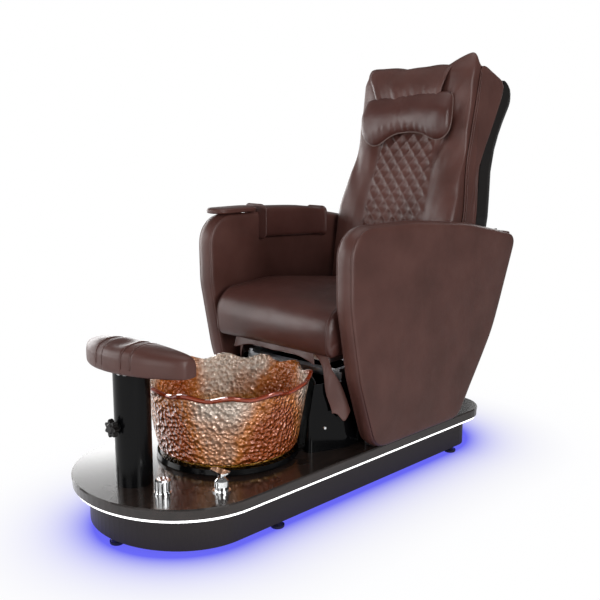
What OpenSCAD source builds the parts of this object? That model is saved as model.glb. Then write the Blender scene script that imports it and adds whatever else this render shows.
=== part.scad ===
// Pedicure spa chair: a deck with a glass foot basin and footrest, and a reclining massage seat.
// +X is the sitter's left, the front faces -Y, +Z is up. Lengths are drawn from the deck's front
// tip and then moved so that the origin is under the middle of the whole chair. Millimetres.

/* [Deck] */
// Width of the deck
deck_w = 650; // [620:1:700]
// Length of the deck
deck_l = 1498; // [1450:1:1560]
// Depth of the deck's rounded front
deck_front_l = 288; // [240:1:320]
// Radius of the deck's rear corners
deck_rear_r = 120; // [60:1:160]
// Height of the deck's top above the floor
deck_h = 165; // [150:1:190]
// Thickness of the deck's top board
deck_board = 9; // [6:0.5:14]
// Height of the band under the deck's edge
band_h = 22; // [14:1:30]
// Width of the band under the deck's edge
band_w = 24; // [18:1:34]
// Height of the edge light strip
light_h = 9; // [5:0.5:12]
// How far the edge light strip sits in from the deck's edge
light_inset = 8; // [4:1:14]
// How far the skirt sits in from the deck's edge
skirt_inset = 50; // [40:1:60]
// Thickness of the skirt
skirt_wall = 5; // [3:0.5:8]
// Gap between the skirt and the floor
skirt_gap = 24; // [18:1:32]

/* [Feet and frame] */
// Radius of a foot's rubber pad
foot_r = 21; // [16:1:26]
// Height of a foot's rubber pad
foot_pad_h = 9; // [6:0.5:12]
// Radius of a foot's stud
stud_r = 5; // [4:0.5:6]
// Distance of the side feet from the centre line
foot_x = 252; // [240:1:253]
// Width of the frame's tubes
tube_w = 30; // [24:1:40]
// Height of the frame's tubes
tube_h = 40; // [30:1:44]

/* [Basin] */
// Distance of the basin's centre from the deck's front tip
basin_y = 500; // [480:1:520]
// Radius of the basin at its rim
basin_rim_r = 258; // [235:1:266]
// Radius of the basin's side just above its base
basin_base_r = 216; // [195:1:222]
// Height of the basin
basin_h = 232; // [200:1:245]
// Thickness of the basin's glass
glass_t = 8; // [6:0.5:11]
// Number of waves round the rim
rim_waves = 12; // [6:1:14]
// How far a wave of the rim swings in and out
rim_wave = 8; // [0:0.5:9]
// Thickness of the black ring under the basin
ring_h = 12; // [8:1:16]
// Radius of the drain hole
drain_r = 26; // [20:1:32]

/* [Footrest] */
// Distance of the post's centre from the deck's front tip
post_y = 144; // [130:1:160]
// Outer radius of the post
post_r = 52; // [44:1:56]
// Thickness of the post's tube
post_wall = 3; // [2:0.5:5]
// Height of the post above the deck
post_h = 325; // [300:1:345]
// How far the footrest can be raised
rise = 100; // [60:1:120]
// Half the width of the footrest pad
pad_half_w = 200; // [180:1:215]
// Depth of the footrest pad
pad_d = 130; // [120:1:140]
// Thickness of the footrest pad
pad_t = 85; // [72:1:95]
// How far the pad's wings sweep back
pad_sweep = 75; // [50:1:90]
// Depth of the dip between the pad's two wings
pad_dip = 12; // [4:1:20]
// Turn of the pad on its post at rest, in degrees
pad_turn = 6; // [-20:1:20]
// Height of the clamp knob above the deck
knob_h = 175; // [150:1:200]
// Radius of the clamp knob
knob_r = 27; // [22:1:32]

/* [Taps] */
// Distance of the mixer from the centre line
mixer_x = 233; // [228:1:240]
// Distance of the mixer from the deck's front tip
mixer_y = 268; // [262:1:275]
// Radius of the mixer's body
mixer_r = 21; // [17:0.5:23]
// Distance of the diverter from the centre line
diverter_x = 126; // [110:1:140]
// Distance of the diverter from the deck's front tip
diverter_y = 146; // [130:1:160]
// Radius of the diverter knob
diverter_r = 22; // [18:0.5:25]

/* [Pedestal] */
// Height of the seat pedestal above the deck
pedestal_h = 232; // [226:1:240]

/* [Side panels] */
// Distance of a panel's inner face from the centre line
panel_in_x = 279; // [277:0.5:286]
// Thickness of a panel
panel_t = 68; // [50:1:76]
// Height of the arm above the floor
arm_h = 870; // [850:1:890]
// Distance of a panel's front from the deck's front tip
panel_front_y = 682; // [675:1:690]
// Distance of a panel's rear top corner from the deck's front tip
panel_rear_y = 1604; // [1590:1:1620]

/* [Arm pad and tray] */
// Height of the arm pad above the arm
arm_pad_rise = 24; // [20:1:32]
// Length of the arm pad
arm_pad_l = 322; // [300:1:330]
// Distance of the arm pad's front from the deck's front tip
arm_pad_y = 908; // [900:1:920]
// Thickness of the tray
tray_t = 19; // [14:1:22]
// Length of the tray from its pivot to its tip
tray_reach = 154; // [120:1:170]
// Half the width of the tray
tray_half_w = 46; // [36:1:50]

/* [Seat] */
// Half the width of the seat cushion
seat_half_w = 262; // [250:1:265]
// Distance of the seat's front from the deck's front tip
seat_front_y = 672; // [665:1:680]
// Distance of the seat's rear from the deck's front tip
seat_rear_y = 1248; // [1225:1:1255]
// Thickness of the board under the seat cushion
seat_board = 25; // [18:1:34]
// Thickness of the seat cushion at its highest place
seat_t = 182; // [150:1:195]
// How far the seat slides forward
seat_travel = 60; // [40:1:62]

/* [Back] */
// Lean of the back from upright at rest, in degrees
lean = 13; // [10:0.5:18]
// Distance of the back's hinge from the deck's front tip
hinge_y = 1348; // [1344:1:1356]
// Height of the back's hinge above the floor
hinge_h = 500; // [497:1:506]
// Radius of the hinge pins
hinge_pin_r = 8; // [6:0.5:10]
// Height of the back above its hinge
back_h = 872; // [850:1:885]
// Half the width of the back at arm height
back_low_w = 268; // [255:1:270]
// Half the width of the back at head height
back_top_w = 246; // [235:1:256]
// How far the ear corners stand above the back's middle
ear_h = 54; // [20:1:64]
// Half the width of the head pillow
pillow_half_w = 194; // [170:1:205]
// Height of the head pillow
pillow_h = 178; // [150:1:190]
// Thickness of the head pillow
pillow_t = 52; // [44:1:60]

/* [Hidden] */
$fn = 48;
clear = 0.5;              // gap between pieces that only pass each other
run_gap = 0.08;           // radial gap of a running fit
soft_gap = 4;             // gap round a soft piece
half_w = deck_w / 2;
band_top = deck_h - deck_board;
band_low = band_top - band_h;
frame_top = band_top;
frame_low = frame_top - tube_h;
rail_x = foot_x - 14;
side_foot_y = [466, deck_l - 144];
front_foot_y = 76;
foot_spots = concat([[0, front_foot_y]],
                    [for (y = side_foot_y, side = [-1, 1]) [side * foot_x, y]]);
boss_r = 14;
cross_y = [mixer_y + mixer_r + 13, 640, 1000, deck_l - 113];

basin_z = deck_h + ring_h;

// Side outlines of the back, in the back's own frame: y from the hinge, z up the back
function ease(t) = let (c = min(1, max(0, t))) c * c * (3 - 2 * c);
side_front = -58;         // front edge of the side walls
// Rear edge of the side walls, where the rear shell takes over
function wall_rear(z) = between(30, 103, ease((z - back_h + 312) / 290));
shell_wall = 4;
shell_profile = [[140, 70], [142, 300], [145, 460], [147, back_h - 242], [170, back_h - 137], [196, back_h - 72],
                 [196, back_h - 42], [180, back_h - 14], [140, back_h + 2], [wall_rear(back_h) + 6, back_h + 6]];
// The pillow's strap hangs over the top of the shell
strap_t = 2.5;
strap_path = smooth([[-122, back_h - 72], [-114, back_h - 34], [-94, back_h - 2], [-60, back_h + 10], [20, back_h + 12],
                     [104, back_h + 13], [150, back_h + 8], [188, back_h - 12], [202, back_h - 44], [200, back_h - 102]], 3);
strap_outer = [for (k = [0:len(strap_path) - 1])
    let (m = len(strap_path) - 1, t = unit(strap_path[min(k + 1, m)] - strap_path[max(k - 1, 0)]))
    strap_path[k] + strap_t * [-t.y, t.x]];
function turn_back(p) = [p.x * cos(lean) + p.y * sin(lean), p.y * cos(lean) - p.x * sin(lean)];
overall_l = max(concat([deck_l], [for (p = concat(smooth(shell_profile, 2), strap_outer)) hinge_y + turn_back(p).x]));
mid_y = overall_l / 2;

leather = [0.34, 0.23, 0.21];
black = [0.05, 0.05, 0.055];
steel = [0.45, 0.46, 0.48];
chrome = [0.85, 0.86, 0.88];

// ---------------------------------------------------------------- outlines and lofts

function unit(v) = v / norm(v);
function mid_of(ring) = [for (a = [0:2]) let (c = [for (p = ring) p[a]]) (c * [for (p = ring) 1]) / len(ring)];

// An arc of n steps that rounds the corner p between a and b
function corner(p, a, b, r, n) =
    let (u = unit(a - p), w = unit(b - p), half = acos(u * w) / 2,
         start = p + u * r / tan(half), end = p + w * r / tan(half),
         c = p + unit(u + w) * r / sin(half),
         from = atan2(start.y - c.y, start.x - c.x),
         sweep = (atan2(end.y - c.y, end.x - c.x) - from + 540) % 360 - 180)
    [for (i = [0:n]) c + r * [cos(from + sweep * i / n), sin(from + sweep * i / n)]];

// A closed outline with each corner rounded to its own radius
function rounded(points, radii, n = 5) =
    let (m = len(points))
    [for (i = [0:m - 1]) each corner(points[i], points[(i + m - 1) % m], points[(i + 1) % m], radii[i], n)];

// A closed outline moved inwards by d
function inset(points, d) =
    let (m = len(points))
    [for (i = [0:m - 1]) let (t = unit(points[(i + 1) % m] - points[(i + m - 1) % m]))
        points[i] + d * [-t.y, t.x]];

// An open run of points with steps of a curve through them
function smooth(points, steps) =
    let (m = len(points) - 1)
    [for (i = [0:m - 1], k = [0:steps - 1])
        let (t = k / steps, a = points[max(i - 1, 0)], b = points[i], c = points[i + 1], d = points[min(i + 2, m)])
        0.5 * (2 * b + (c - a) * t + (2 * a - 5 * b + 4 * c - d) * t * t + (3 * b - a - 3 * c + d) * t * t * t),
     points[m]];

function between(a, b, t) = a + (b - a) * t;
function bulge(t, power = 2) = 1 - pow(abs(t), power);

// A solid through rings of points, closed by its ends or, when looped, back on itself
module loft(rings, looped = false) {
    n = len(rings[0]);
    m = len(rings);
    spans = looped ? m : m - 1;
    sides = [for (k = [0:spans - 1], i = [0:n - 1])
        let (a = k * n + i, b = k * n + (i + 1) % n, d = ((k + 1) % m) * n + i, c = ((k + 1) % m) * n + (i + 1) % n)
        each [[a, d, c], [a, c, b]]];
    ends = looped ? [] : [for (i = [0:n - 1])
        each [[m * n, i, (i + 1) % n], [m * n + 1, (m - 1) * n + (i + 1) % n, (m - 1) * n + i]]];
    points = [for (ring = rings) each ring];
    polyhedron(concat(points, looped ? [] : [mid_of(rings[0]), mid_of(rings[m - 1])]), concat(sides, ends));
}

// A solid between a front and a rear grid of points; chequered turns every other diagonal
module sheet(front, rear, chequered = false) {
    rows = len(front);
    cols = len(front[0]);
    back = rows * cols;
    function at(k, i) = k * cols + i;
    faces = [for (k = [0:rows - 2], i = [0:cols - 2])
        let (a = at(k, i), b = at(k, i + 1), c = at(k + 1, i + 1), d = at(k + 1, i), r = [back, back, back])
        each chequered && (k + i) % 2 == 1
            ? [[a, d, b], [b, d, c], [a, b, d] + r, [b, c, d] + r]
            : [[a, d, c], [a, c, b], [a, b, c] + r, [a, c, d] + r]];
    ends = [for (i = [0:cols - 2])
        let (a = at(0, i), b = at(0, i + 1), d = at(rows - 1, i), c = at(rows - 1, i + 1))
        each [[a, b, back + b], [a, back + b, back + a], [c, d, back + d], [c, back + d, back + c]]];
    edges = [for (k = [0:rows - 2])
        let (a = at(k, 0), d = at(k + 1, 0), b = at(k, cols - 1), c = at(k + 1, cols - 1))
        each [[d, a, back + a], [d, back + a, back + d], [b, c, back + c], [b, back + c, back + b]]];
    polyhedron([for (row = front) each row, for (row = rear) each row], concat(faces, ends, edges));
}

// A round tube along a path; ref is a direction that the path never takes
module tube(path, r, ref = [1, 0, 0], sides = 8) {
    m = len(path) - 1;
    loft([for (k = [0:m])
        let (t = unit(path[min(k + 1, m)] - path[max(k - 1, 0)]), u = unit(cross(ref, t)), v = cross(t, u))
        [for (i = [0:sides - 1]) path[k] + r * (cos(360 * i / sides) * u + sin(360 * i / sides) * v)]]);
}

module placed() { translate([0, -mid_y, 0]) children(); }
module at_hinge() { placed() translate([0, hinge_y, hinge_h]) rotate([-lean, 0, 0]) children(); }
module both_sides() { children(); mirror([1, 0, 0]) children(); }
module box(low, high) { translate(low) cube(high - low); }
module along_y(from, to, r) { translate(from) rotate([-90, 0, 0]) cylinder(h = to - from.y, r = r); }
module along_x(from, to, r) { translate(from) rotate([0, 90, 0]) cylinder(h = to - from.x, r = r); }

// ---------------------------------------------------------------- deck and base

// Plan of the deck, set in from its edge by d
function deck_plan(d) =
    let (w = half_w - d, front = deck_front_l - d, r = deck_rear_r - d)
    concat([for (i = [0:40]) [-w * cos(4.5 * i), deck_front_l - front * sin(4.5 * i)]],
           [for (i = [0:8]) [w - r + r * cos(11.25 * i), deck_l - d - r + r * sin(11.25 * i)]],
           [for (i = [0:8]) [-w + r - r * sin(11.25 * i), deck_l - d - r + r * cos(11.25 * i)]]);

module deck_slab(d, low, high) {
    translate([0, 0, low]) linear_extrude(high - low) polygon(deck_plan(d));
}

module deck_ring(outer, inner, low, high) {
    difference() {
        deck_slab(outer, low, high);
        deck_slab(inner, low - 1, high + 1);
    }
}

module deck() color([0.16, 0.12, 0.11]) placed() difference() {
    union() {
        deck_slab(3, deck_h - 2, deck_h);
        deck_slab(1, deck_h - 4, deck_h - 2);
        deck_slab(0, band_top, deck_h - 4);
        deck_ring(2, 2 + band_w, band_low, band_top);
    }
    translate([0, basin_y, band_low]) cylinder(h = 60, r = drain_r + 14);
    translate([mixer_x, mixer_y, band_low]) cylinder(h = 60, r = mixer_r - 5);
    translate([diverter_x, diverter_y, band_low]) cylinder(h = 60, r = 9);
}

module edge_light_strip() color([0.95, 0.97, 1]) placed()
    deck_ring(light_inset, light_inset + 10, band_low - light_h, band_low);

module skirt() color([0.13, 0.12, 0.12]) placed() difference() {
    deck_ring(skirt_inset, skirt_inset + skirt_wall, skirt_gap, band_top);
    for (x = inlet_x) along_y([x, deck_l - 80, inlet_z], deck_l, inlet_r + 1);
    along_y([outlet_x, deck_l - 80, outlet_z], deck_l, pipe_r + 1);
    box([power_x - 24, deck_l - 80, power_z - 14], [power_x + 24, deck_l, power_z + 14]);
}

inlet_x = [-120, -70];
inlet_z = 80;
inlet_r = 10.5;
outlet_x = 0;
outlet_z = 80;
pipe_r = 16;
power_x = 120;
power_z = 90;
skirt_rear = deck_l - skirt_inset;

module base_frame() color(steel) placed() difference() {
    union() {
        both_sides() box([rail_x - tube_w / 2, cross_y[0], frame_low],
                         [rail_x + tube_w / 2, cross_y[3] + tube_w, frame_top]);
        for (y = cross_y) box([-rail_x, y, frame_low], [rail_x, y + tube_w, frame_top]);
        box([-tube_w, front_foot_y - boss_r, frame_low], [tube_w, cross_y[0], frame_top]);
        for (p = foot_spots) translate([p.x, p.y, skirt_gap + 4]) cylinder(h = frame_low - skirt_gap - 4 + 10, r = boss_r);
    }
    for (p = foot_spots) translate([p.x, p.y, 0]) cylinder(h = skirt_gap + 50, r = stud_r);
}

module underglow_tape() color([0.3, 0.35, 1]) placed()
    deck_ring(skirt_inset + skirt_wall, skirt_inset + skirt_wall + 2.5, skirt_gap + 6, skirt_gap + 16);

module levelling_feet() color([0.06, 0.06, 0.06]) placed()
    for (p = foot_spots) translate([p.x, p.y, 0]) {
        cylinder(h = 3, r1 = foot_r - 2, r2 = foot_r);
        translate([0, 0, 3]) cylinder(h = foot_pad_h - 3, r = foot_r);
        translate([0, 0, foot_pad_h]) cylinder(h = 4, r1 = foot_r - 3, r2 = 10);
        translate([0, 0, foot_pad_h + 4]) cylinder(h = 7, r = 9, $fn = 6);
        cylinder(h = skirt_gap + 40, r = stud_r);
    }

// ---------------------------------------------------------------- basin and plumbing

module basin_ring() color(black) placed() translate([0, basin_y, deck_h]) rotate_extrude($fn = 96)
    polygon([[basin_base_r - 52, 0], [basin_base_r + 4, 0], [basin_base_r + 6, 3], [basin_base_r + 3, ring_h + 6],
             [basin_base_r - 6, ring_h - 1], [basin_base_r - 40, ring_h - 1], [basin_base_r - 52, ring_h - 3]]);

// Radius of the basin's outer face at height h above its base
function basin_r(h) =
    h < 26 ? basin_base_r - 30 + 30 * sin(90 * h / 26)
           : between(basin_base_r, basin_rim_r - 4, pow((h - 26) / (basin_h - 26), 0.85));
// The rim is rolled over into a bead
bead_mid = 0.972;
bead_half = 0.03;
bead_out = 3.5;
function bead(t) = bead_out * max(0, 1 - pow((t - bead_mid) / bead_half, 2));
// Radius and height of the basin, t up its wall, at angle a: the waves grow towards the rim
wave_turn = 20;
function basin_point(t, a, wall) =
    let (h = t * basin_h, grow = pow(t, 5), wave = cos(rim_waves * (a - wave_turn)),
         r = basin_r(h) + 4 * pow(t, 12) + rim_wave * grow * wave - wall + bead(t) * (wall > 0 ? -0.6 : 1))
    [r * cos(a), r * sin(a), basin_z + h + 0.9 * rim_wave * grow * wave];
rim_steps = [0.945, 0.96, 0.972, 0.985];
outer_steps = concat([0, 0.04, 0.1, 0.2, 0.4, 0.6, 0.78, 0.9], rim_steps, [1]);
inner_steps = concat([1], [for (i = [3:-1:0]) rim_steps[i]], [0.9, 0.78, 0.55, 0.3, 0.13, glass_t / basin_h]);
basin_sides = 96;
function level_ring(r, z) = [for (i = [0:basin_sides - 1]) let (a = 360 * i / basin_sides) [r * cos(a), r * sin(a), z]];
function wall_ring(t, wall) = [for (i = [0:basin_sides - 1]) basin_point(t, 360 * i / basin_sides, wall)];

module glass_basin() color([0.78, 0.42, 0.16, 0.6]) placed() translate([0, basin_y, 0])
    loft(concat([level_ring(drain_r, basin_z)],
                [for (t = outer_steps) wall_ring(t, 0)],
                [for (t = inner_steps) wall_ring(t, t < 0.1 ? 22 : glass_t)],
                [level_ring(drain_r, basin_z + glass_t)]), looped = true);

module drain_strainer() color(chrome) placed() translate([0, basin_y, 0]) difference() {
    union() {
        translate([0, 0, basin_z + glass_t]) cylinder(h = 3, r = drain_r + 10);
        translate([0, 0, deck_h - 40]) cylinder(h = ring_h + glass_t + 40, r = drain_r - 1);
    }
    translate([0, 0, deck_h - 41]) cylinder(h = 39 + ring_h + glass_t, r = drain_r - 4);
    for (i = [0:7]) rotate(45 * i) translate([14, 0, basin_z]) cylinder(h = 40, r = 3.5, $fn = 16);
    translate([0, 0, basin_z]) cylinder(h = 40, r = 4, $fn = 16);
}

pump_y = [790, 960];
pump_z = outlet_z;

module drain_pipe() color([0.75, 0.75, 0.73]) placed() {
    difference() {
        union() {
            translate([0, basin_y, pump_z]) sphere(r = pipe_r);
            translate([0, basin_y, pump_z]) cylinder(h = deck_h - 41 - pump_z, r = pipe_r);
            translate([0, basin_y, deck_h - 65]) cylinder(h = 24, r = drain_r - 1);
            along_y([0, basin_y, pump_z], pump_y[0], pipe_r);
        }
        translate([0, basin_y, pump_z]) cylinder(h = 100, r = pipe_r - 3);
        along_y([0, basin_y, pump_z], pump_y[0] + 1, pipe_r - 3);
    }
    difference() {
        union() {
            along_y([outlet_x, pump_y[1], outlet_z], skirt_rear + 34, pipe_r);
            along_y([outlet_x, skirt_rear + 1, outlet_z], skirt_rear + 5, pipe_r + 8);
        }
        along_y([outlet_x, pump_y[1] - 1, outlet_z], skirt_rear + 40, pipe_r - 3);
    }
}

module discharge_pump() color([0.1, 0.1, 0.12]) placed() {
    along_y([0, pump_y[0], pump_z], pump_y[0] + 46, 34);
    along_y([0, pump_y[0] + 46, pump_z], pump_y[1] - 14, 28);
    along_y([0, pump_y[1] - 14, pump_z], pump_y[1], 22);
    difference() {
        for (y = [pump_y[0] + 70, pump_y[0] + 120]) box([-40, y, pump_z + 15], [40, y + 14, frame_low - 1]);
        along_y([0, pump_y[0], pump_z], pump_y[1], 20);
    }
}

hose_r = 5;
hose_z = 46;
hose_side = 6;            // a hose's distance from the mixer's axis
function hose_path(x, end) = [[x, skirt_rear - 40, inlet_z], [x, skirt_rear - 60, inlet_z],
    [x, skirt_rear - 120, hose_z + 4], [x, skirt_rear - 200, hose_z], [x, 900, hose_z], [x + 8, 620, hose_z],
    [x + 60, 470, hose_z], [170, 350, hose_z], [end.x - 14, end.y + 26, hose_z + 4], [end.x, end.y, hose_z + 40],
    [end.x, end.y, deck_h - 10]];

module supply_hoses() color([0.7, 0.71, 0.73]) placed() {
    tube(hose_path(inlet_x[0], [mixer_x - hose_side, mixer_y]), hose_r, ref = [0.9, 0.4, 0]);
    tube(hose_path(inlet_x[1], [mixer_x + hose_side, mixer_y]), hose_r, ref = [0.9, 0.4, 0]);
}

module water_inlets() color(chrome) placed() for (x = inlet_x) difference() {
    union() {
        along_y([x, skirt_rear - 40, inlet_z], skirt_rear + 26, inlet_r);
        along_y([x, skirt_rear + 1, inlet_z], skirt_rear + 8, inlet_r + 6);
    }
    along_y([x, skirt_rear - 30, inlet_z], skirt_rear + 40, 6);
}

module power_inlet() color(black) placed() difference() {
    union() {
        box([power_x - 23, skirt_rear - 30, power_z - 13], [power_x + 23, skirt_rear + 1, power_z + 13]);
        box([power_x - 30, skirt_rear, power_z - 18], [power_x + 30, skirt_rear + 4, power_z + 18]);
    }
    box([power_x - 13, skirt_rear - 16, power_z - 9], [power_x + 13, skirt_rear + 5, power_z + 9]);
}

// ---------------------------------------------------------------- pedestal and seat stand

recess_low = 240;
recess_top = 272;
pedestal_wall = 4;
cheek_y = basin_y + 153;
stand_x = 200;
stand_rear = deck_l - 128;
stand_top = deck_h + pedestal_h;
stand_y = [790, stand_rear - 40];
slide_rod_z = stand_top - 32;
slide_tube_r = 18;
stand_low_bar = slide_rod_z - slide_tube_r;

pedestal_half_w = 250;
cheek_tip = [205, cheek_y];
cheek_rear = [pedestal_half_w, cheek_y + 120];
function pedestal_plan(d) = inset(rounded(
    [[-pedestal_half_w, stand_rear + 30], [-cheek_rear.x, cheek_rear.y], [-cheek_tip.x, cheek_tip.y],
     cheek_tip, cheek_rear, [pedestal_half_w, stand_rear + 30]], [30, 60, 14, 14, 60, 30]), d);

module pedestal_block(d, low, high) difference() {
    translate([0, 0, low]) linear_extrude(high - low) polygon(pedestal_plan(d));
    translate([0, basin_y, deck_h]) cylinder(h = pedestal_h, r1 = recess_low + d, r2 = recess_top + d, $fn = 128);
    translate([0, basin_y, deck_h - 1]) cylinder(h = 1.01, r = recess_low + d, $fn = 128);
    translate([0, basin_y, stand_top - 0.01]) cylinder(h = 2, r = recess_top + d, $fn = 128);
}

module seat_pedestal() color(black) placed() difference() {
    pedestal_block(0, deck_h, stand_top - 14);
    pedestal_block(pedestal_wall, deck_h - 1, stand_top);
    both_sides() translate(cheek_screw) rotate([-90, 0, cheek_turn]) cylinder(h = 20, r = 2.6, center = true);
}

// Where the cheek's screw sits, and the cheek's turn from the front
cheek_run = unit(cheek_rear - cheek_tip);
cheek_screw = [each cheek_tip + 54 * cheek_run, deck_h + 75];
cheek_turn = atan2(cheek_run.y, cheek_run.x);

module pedestal_screws() color(chrome) placed() both_sides()
    translate(cheek_screw) rotate([-90, 0, cheek_turn]) {
        translate([0, 0, -3]) cylinder(h = 3, r1 = 4, r2 = 5.5);
        cylinder(h = 14, r = 2.4);
    }

module seat_stand() color(steel) placed() {
    both_sides() {
        for (y = stand_y) box([stand_x - 15, y, deck_h], [stand_x + 15, y + 30, stand_top - 20]);
        box([stand_x - 15, stand_y[0], stand_top - 20], [stand_x + 15, stand_rear, stand_top]);
    }
    box([-stand_x + 15, stand_y[0], stand_top - 20], [stand_x - 15, stand_y[0] + 30, stand_top]);
    box([-stand_x + 15, stand_y[1], stand_low_bar - 20], [stand_x - 15, stand_y[1] + 30, stand_low_bar]);
    box([-stand_x + 15, stand_y[1], deck_h], [stand_x - 15, stand_y[1] + 30, deck_h + 20]);
}

control_x = [-150, -20];
control_y = [stand_y[1] - 150, stand_y[1] - 30];
control_h = 52;
module control_box() color([0.2, 0.2, 0.22]) placed() {
    box([control_x[0], control_y[0], deck_h], [control_x[1], control_y[1], deck_h + control_h]);
    box([control_x[0] - 4, control_y[0] - 4, deck_h + control_h], [control_x[1] + 4, control_y[1] + 4, deck_h + control_h + 6]);
}

// The runner wraps the rail's head, which stands on a narrow foot
rail_h = 12;
rail_w = 15;
module slide_rails() color(steel) placed() both_sides() {
    box([stand_x - rail_w, stand_y[0], stand_top], [stand_x + rail_w, stand_rear, stand_top + 3]);
    box([stand_x - 5, stand_y[0], stand_top + 3], [stand_x + 5, stand_rear, stand_top + 7]);
    box([stand_x - 9, stand_y[0], stand_top + 7], [stand_x + 9, stand_rear, stand_top + rail_h]);
}

runner_y = [stand_y[0] + seat_travel + 10, stand_rear - 60];
runner_top = stand_top + 20;
module seat_runners() color([0.3, 0.3, 0.32]) placed() both_sides() difference() {
    box([stand_x - rail_w, runner_y[0], stand_top + 4], [stand_x + rail_w, runner_y[1], runner_top]);
    box([stand_x - 9 - clear, runner_y[0] - 1, stand_top + 7 - clear],
        [stand_x + 9 + clear, runner_y[1] + 1, stand_top + rail_h + clear]);
    box([stand_x - 5 - clear, runner_y[0] - 1, stand_top], [stand_x + 5 + clear, runner_y[1] + 1, stand_top + 8]);
}

// The slide actuator lies under the seat: its tube on the stand, its rod on the seat frame
slide_rod_x = 90;
slide_tube_y = [runner_y[0] + 150, stand_y[1] + 30];
module slide_actuator_tube() color([0.15, 0.15, 0.16]) placed() difference() {
    union() {
        along_y([slide_rod_x, slide_tube_y[0], slide_rod_z], slide_tube_y[1], slide_tube_r);
        box([slide_rod_x + 6, slide_tube_y[1] - 90, slide_rod_z - 14], [slide_rod_x + 60, slide_tube_y[1] - 10, slide_rod_z + 21]);
    }
    along_y([slide_rod_x, slide_tube_y[0] - 1, slide_rod_z], slide_tube_y[1] - 100, 10.5);
}

module slide_actuator_rod() color(chrome) placed() {
    along_y([slide_rod_x, slide_tube_y[0] - 100, slide_rod_z], slide_tube_y[1] - 180, 10);
    box([slide_rod_x - 12, slide_tube_y[0] - 124, slide_rod_z - 12], [slide_rod_x + 12, slide_tube_y[0] - 100, runner_top]);
}

// ---------------------------------------------------------------- side panels and arms

panel_low = deck_h + 5;
function panel_side(d) = inset(rounded(
    [[panel_front_y, arm_h], [panel_front_y + 1, 640], [panel_front_y + 48, 400], [panel_front_y + 130, panel_low],
     [panel_rear_y - 340, panel_low], [panel_rear_y - 136, 455], [panel_rear_y, arm_h - 88],
     [panel_front_y + 618, arm_h - 28], [panel_front_y + 308, arm_h]],
    [95, 260, 260, 62, 62, 420, 34, 900, 900], 6), d);
// How far the panel's face is set in at each station across its thickness
panel_stations = [[0, 16], [3, 5], [8, 0], [panel_t - 8, 0], [panel_t - 3, 5], [panel_t, 16]];

module side_panel() difference() {
    loft([for (s = panel_stations) [for (p = panel_side(s[1])) [panel_in_x + s[0], p.x, p.y]]]);
    box(catch_low - [0, 1, 1] * clear, [catch_high.x + 1, catch_high.y + clear, arm_h]);
}
module side_panel_left() color(leather) placed() mirror([1, 0, 0]) side_panel();
module side_panel_right() color(leather) placed() side_panel();

bracket_ends = [panel_front_y + 170, panel_rear_y - 420];
module panel_brackets() color(steel) placed() both_sides() for (y = [bracket_ends[0], (bracket_ends[0] + bracket_ends[1]) / 2, bracket_ends[1]]) {
    box([264, y, deck_h], [270, y + 50, deck_h + 90]);
    box([270, y, deck_h], [panel_in_x + 24, y + 50, deck_h + 4]);
    for (z = [30, 70]) along_x([268, y + 25, deck_h + z], panel_in_x - clear, 6);
}

// A notch in the panel's rear top corner holds the catch of the swing-over arm cover
catch_low = [panel_in_x + 10, panel_rear_y - 112, arm_h - 96];
catch_high = [panel_in_x + 58, panel_rear_y - 34, arm_h - 66];
module arm_catch() {
    box(catch_low, [catch_high.x, catch_high.y, catch_low.z + 5]);
    box(catch_low, [catch_high.x, catch_low.y + 6, catch_high.z]);
    box([catch_low.x, catch_low.y, catch_low.z], [catch_low.x + 5, catch_high.y - 22, catch_high.z]);
    along_x([catch_low.x, catch_low.y + 26, catch_low.z + 16], catch_high.x, 7);
}
module arm_catches() color(black) placed() both_sides() arm_catch();

tab_l = 44;
module catch_tabs() color(leather) placed() both_sides() translate([0, catch_high.y - tab_l - 1, catch_low.z + 5 + clear])
    rotate([90, 0, 90]) translate([0, 0, catch_low.x + 6]) linear_extrude(catch_high.x - catch_low.x - 7)
        polygon(rounded([[0, 0], [tab_l, 0], [tab_l, 18], [0, 24]], [3, 8, 8, 5]));

arm_top = arm_h + arm_pad_rise;
arm_pad_x = [panel_in_x - 30, panel_in_x + panel_t - 6];
function arm_pad_side(d) = inset(rounded(
    [[arm_pad_y, arm_top], [arm_pad_y, arm_h - 88], [arm_pad_y + arm_pad_l - 20, arm_h - 100], [arm_pad_y + arm_pad_l, arm_top - 20]],
    [10, 14, 20, 26], 4), d);

// The arm pad caps the panel and hangs down its inner side
module arm_pad() color(leather) placed() mirror([1, 0, 0]) difference() {
    loft([for (s = [[0, 9], [3, 3], [9, 0], [arm_pad_x[1] - arm_pad_x[0] - 9, 0],
                    [arm_pad_x[1] - arm_pad_x[0] - 3, 3], [arm_pad_x[1] - arm_pad_x[0], 9]])
        [for (p = arm_pad_side(s[1])) [arm_pad_x[0] + s[0], p.x, p.y]]]);
    translate([panel_in_x - 1, 0, 0]) rotate([90, 0, 90]) linear_extrude(panel_t + 10)
        polygon(inset(panel_side(0), -1));
}

tray_x = panel_in_x + 20;
tray_pivot_y = arm_pad_y - tray_half_w - 10;
tray_z = arm_top - tray_t - 2 + clear;
module tray_post() color(chrome) placed() translate([-tray_x, tray_pivot_y, 0]) {
    translate([0, 0, arm_h]) cylinder(h = 3, r = 15);
    translate([0, 0, arm_h + 3]) cylinder(h = tray_z - arm_h - 3 + 12, r = 7);
}

function tray_plan(r) = concat([for (i = [0:12]) r * [cos(15 * i), sin(15 * i)]],
    [for (i = [0:12]) [0, tray_half_w - tray_reach] - r * [cos(15 * i), sin(15 * i)]]);

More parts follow.
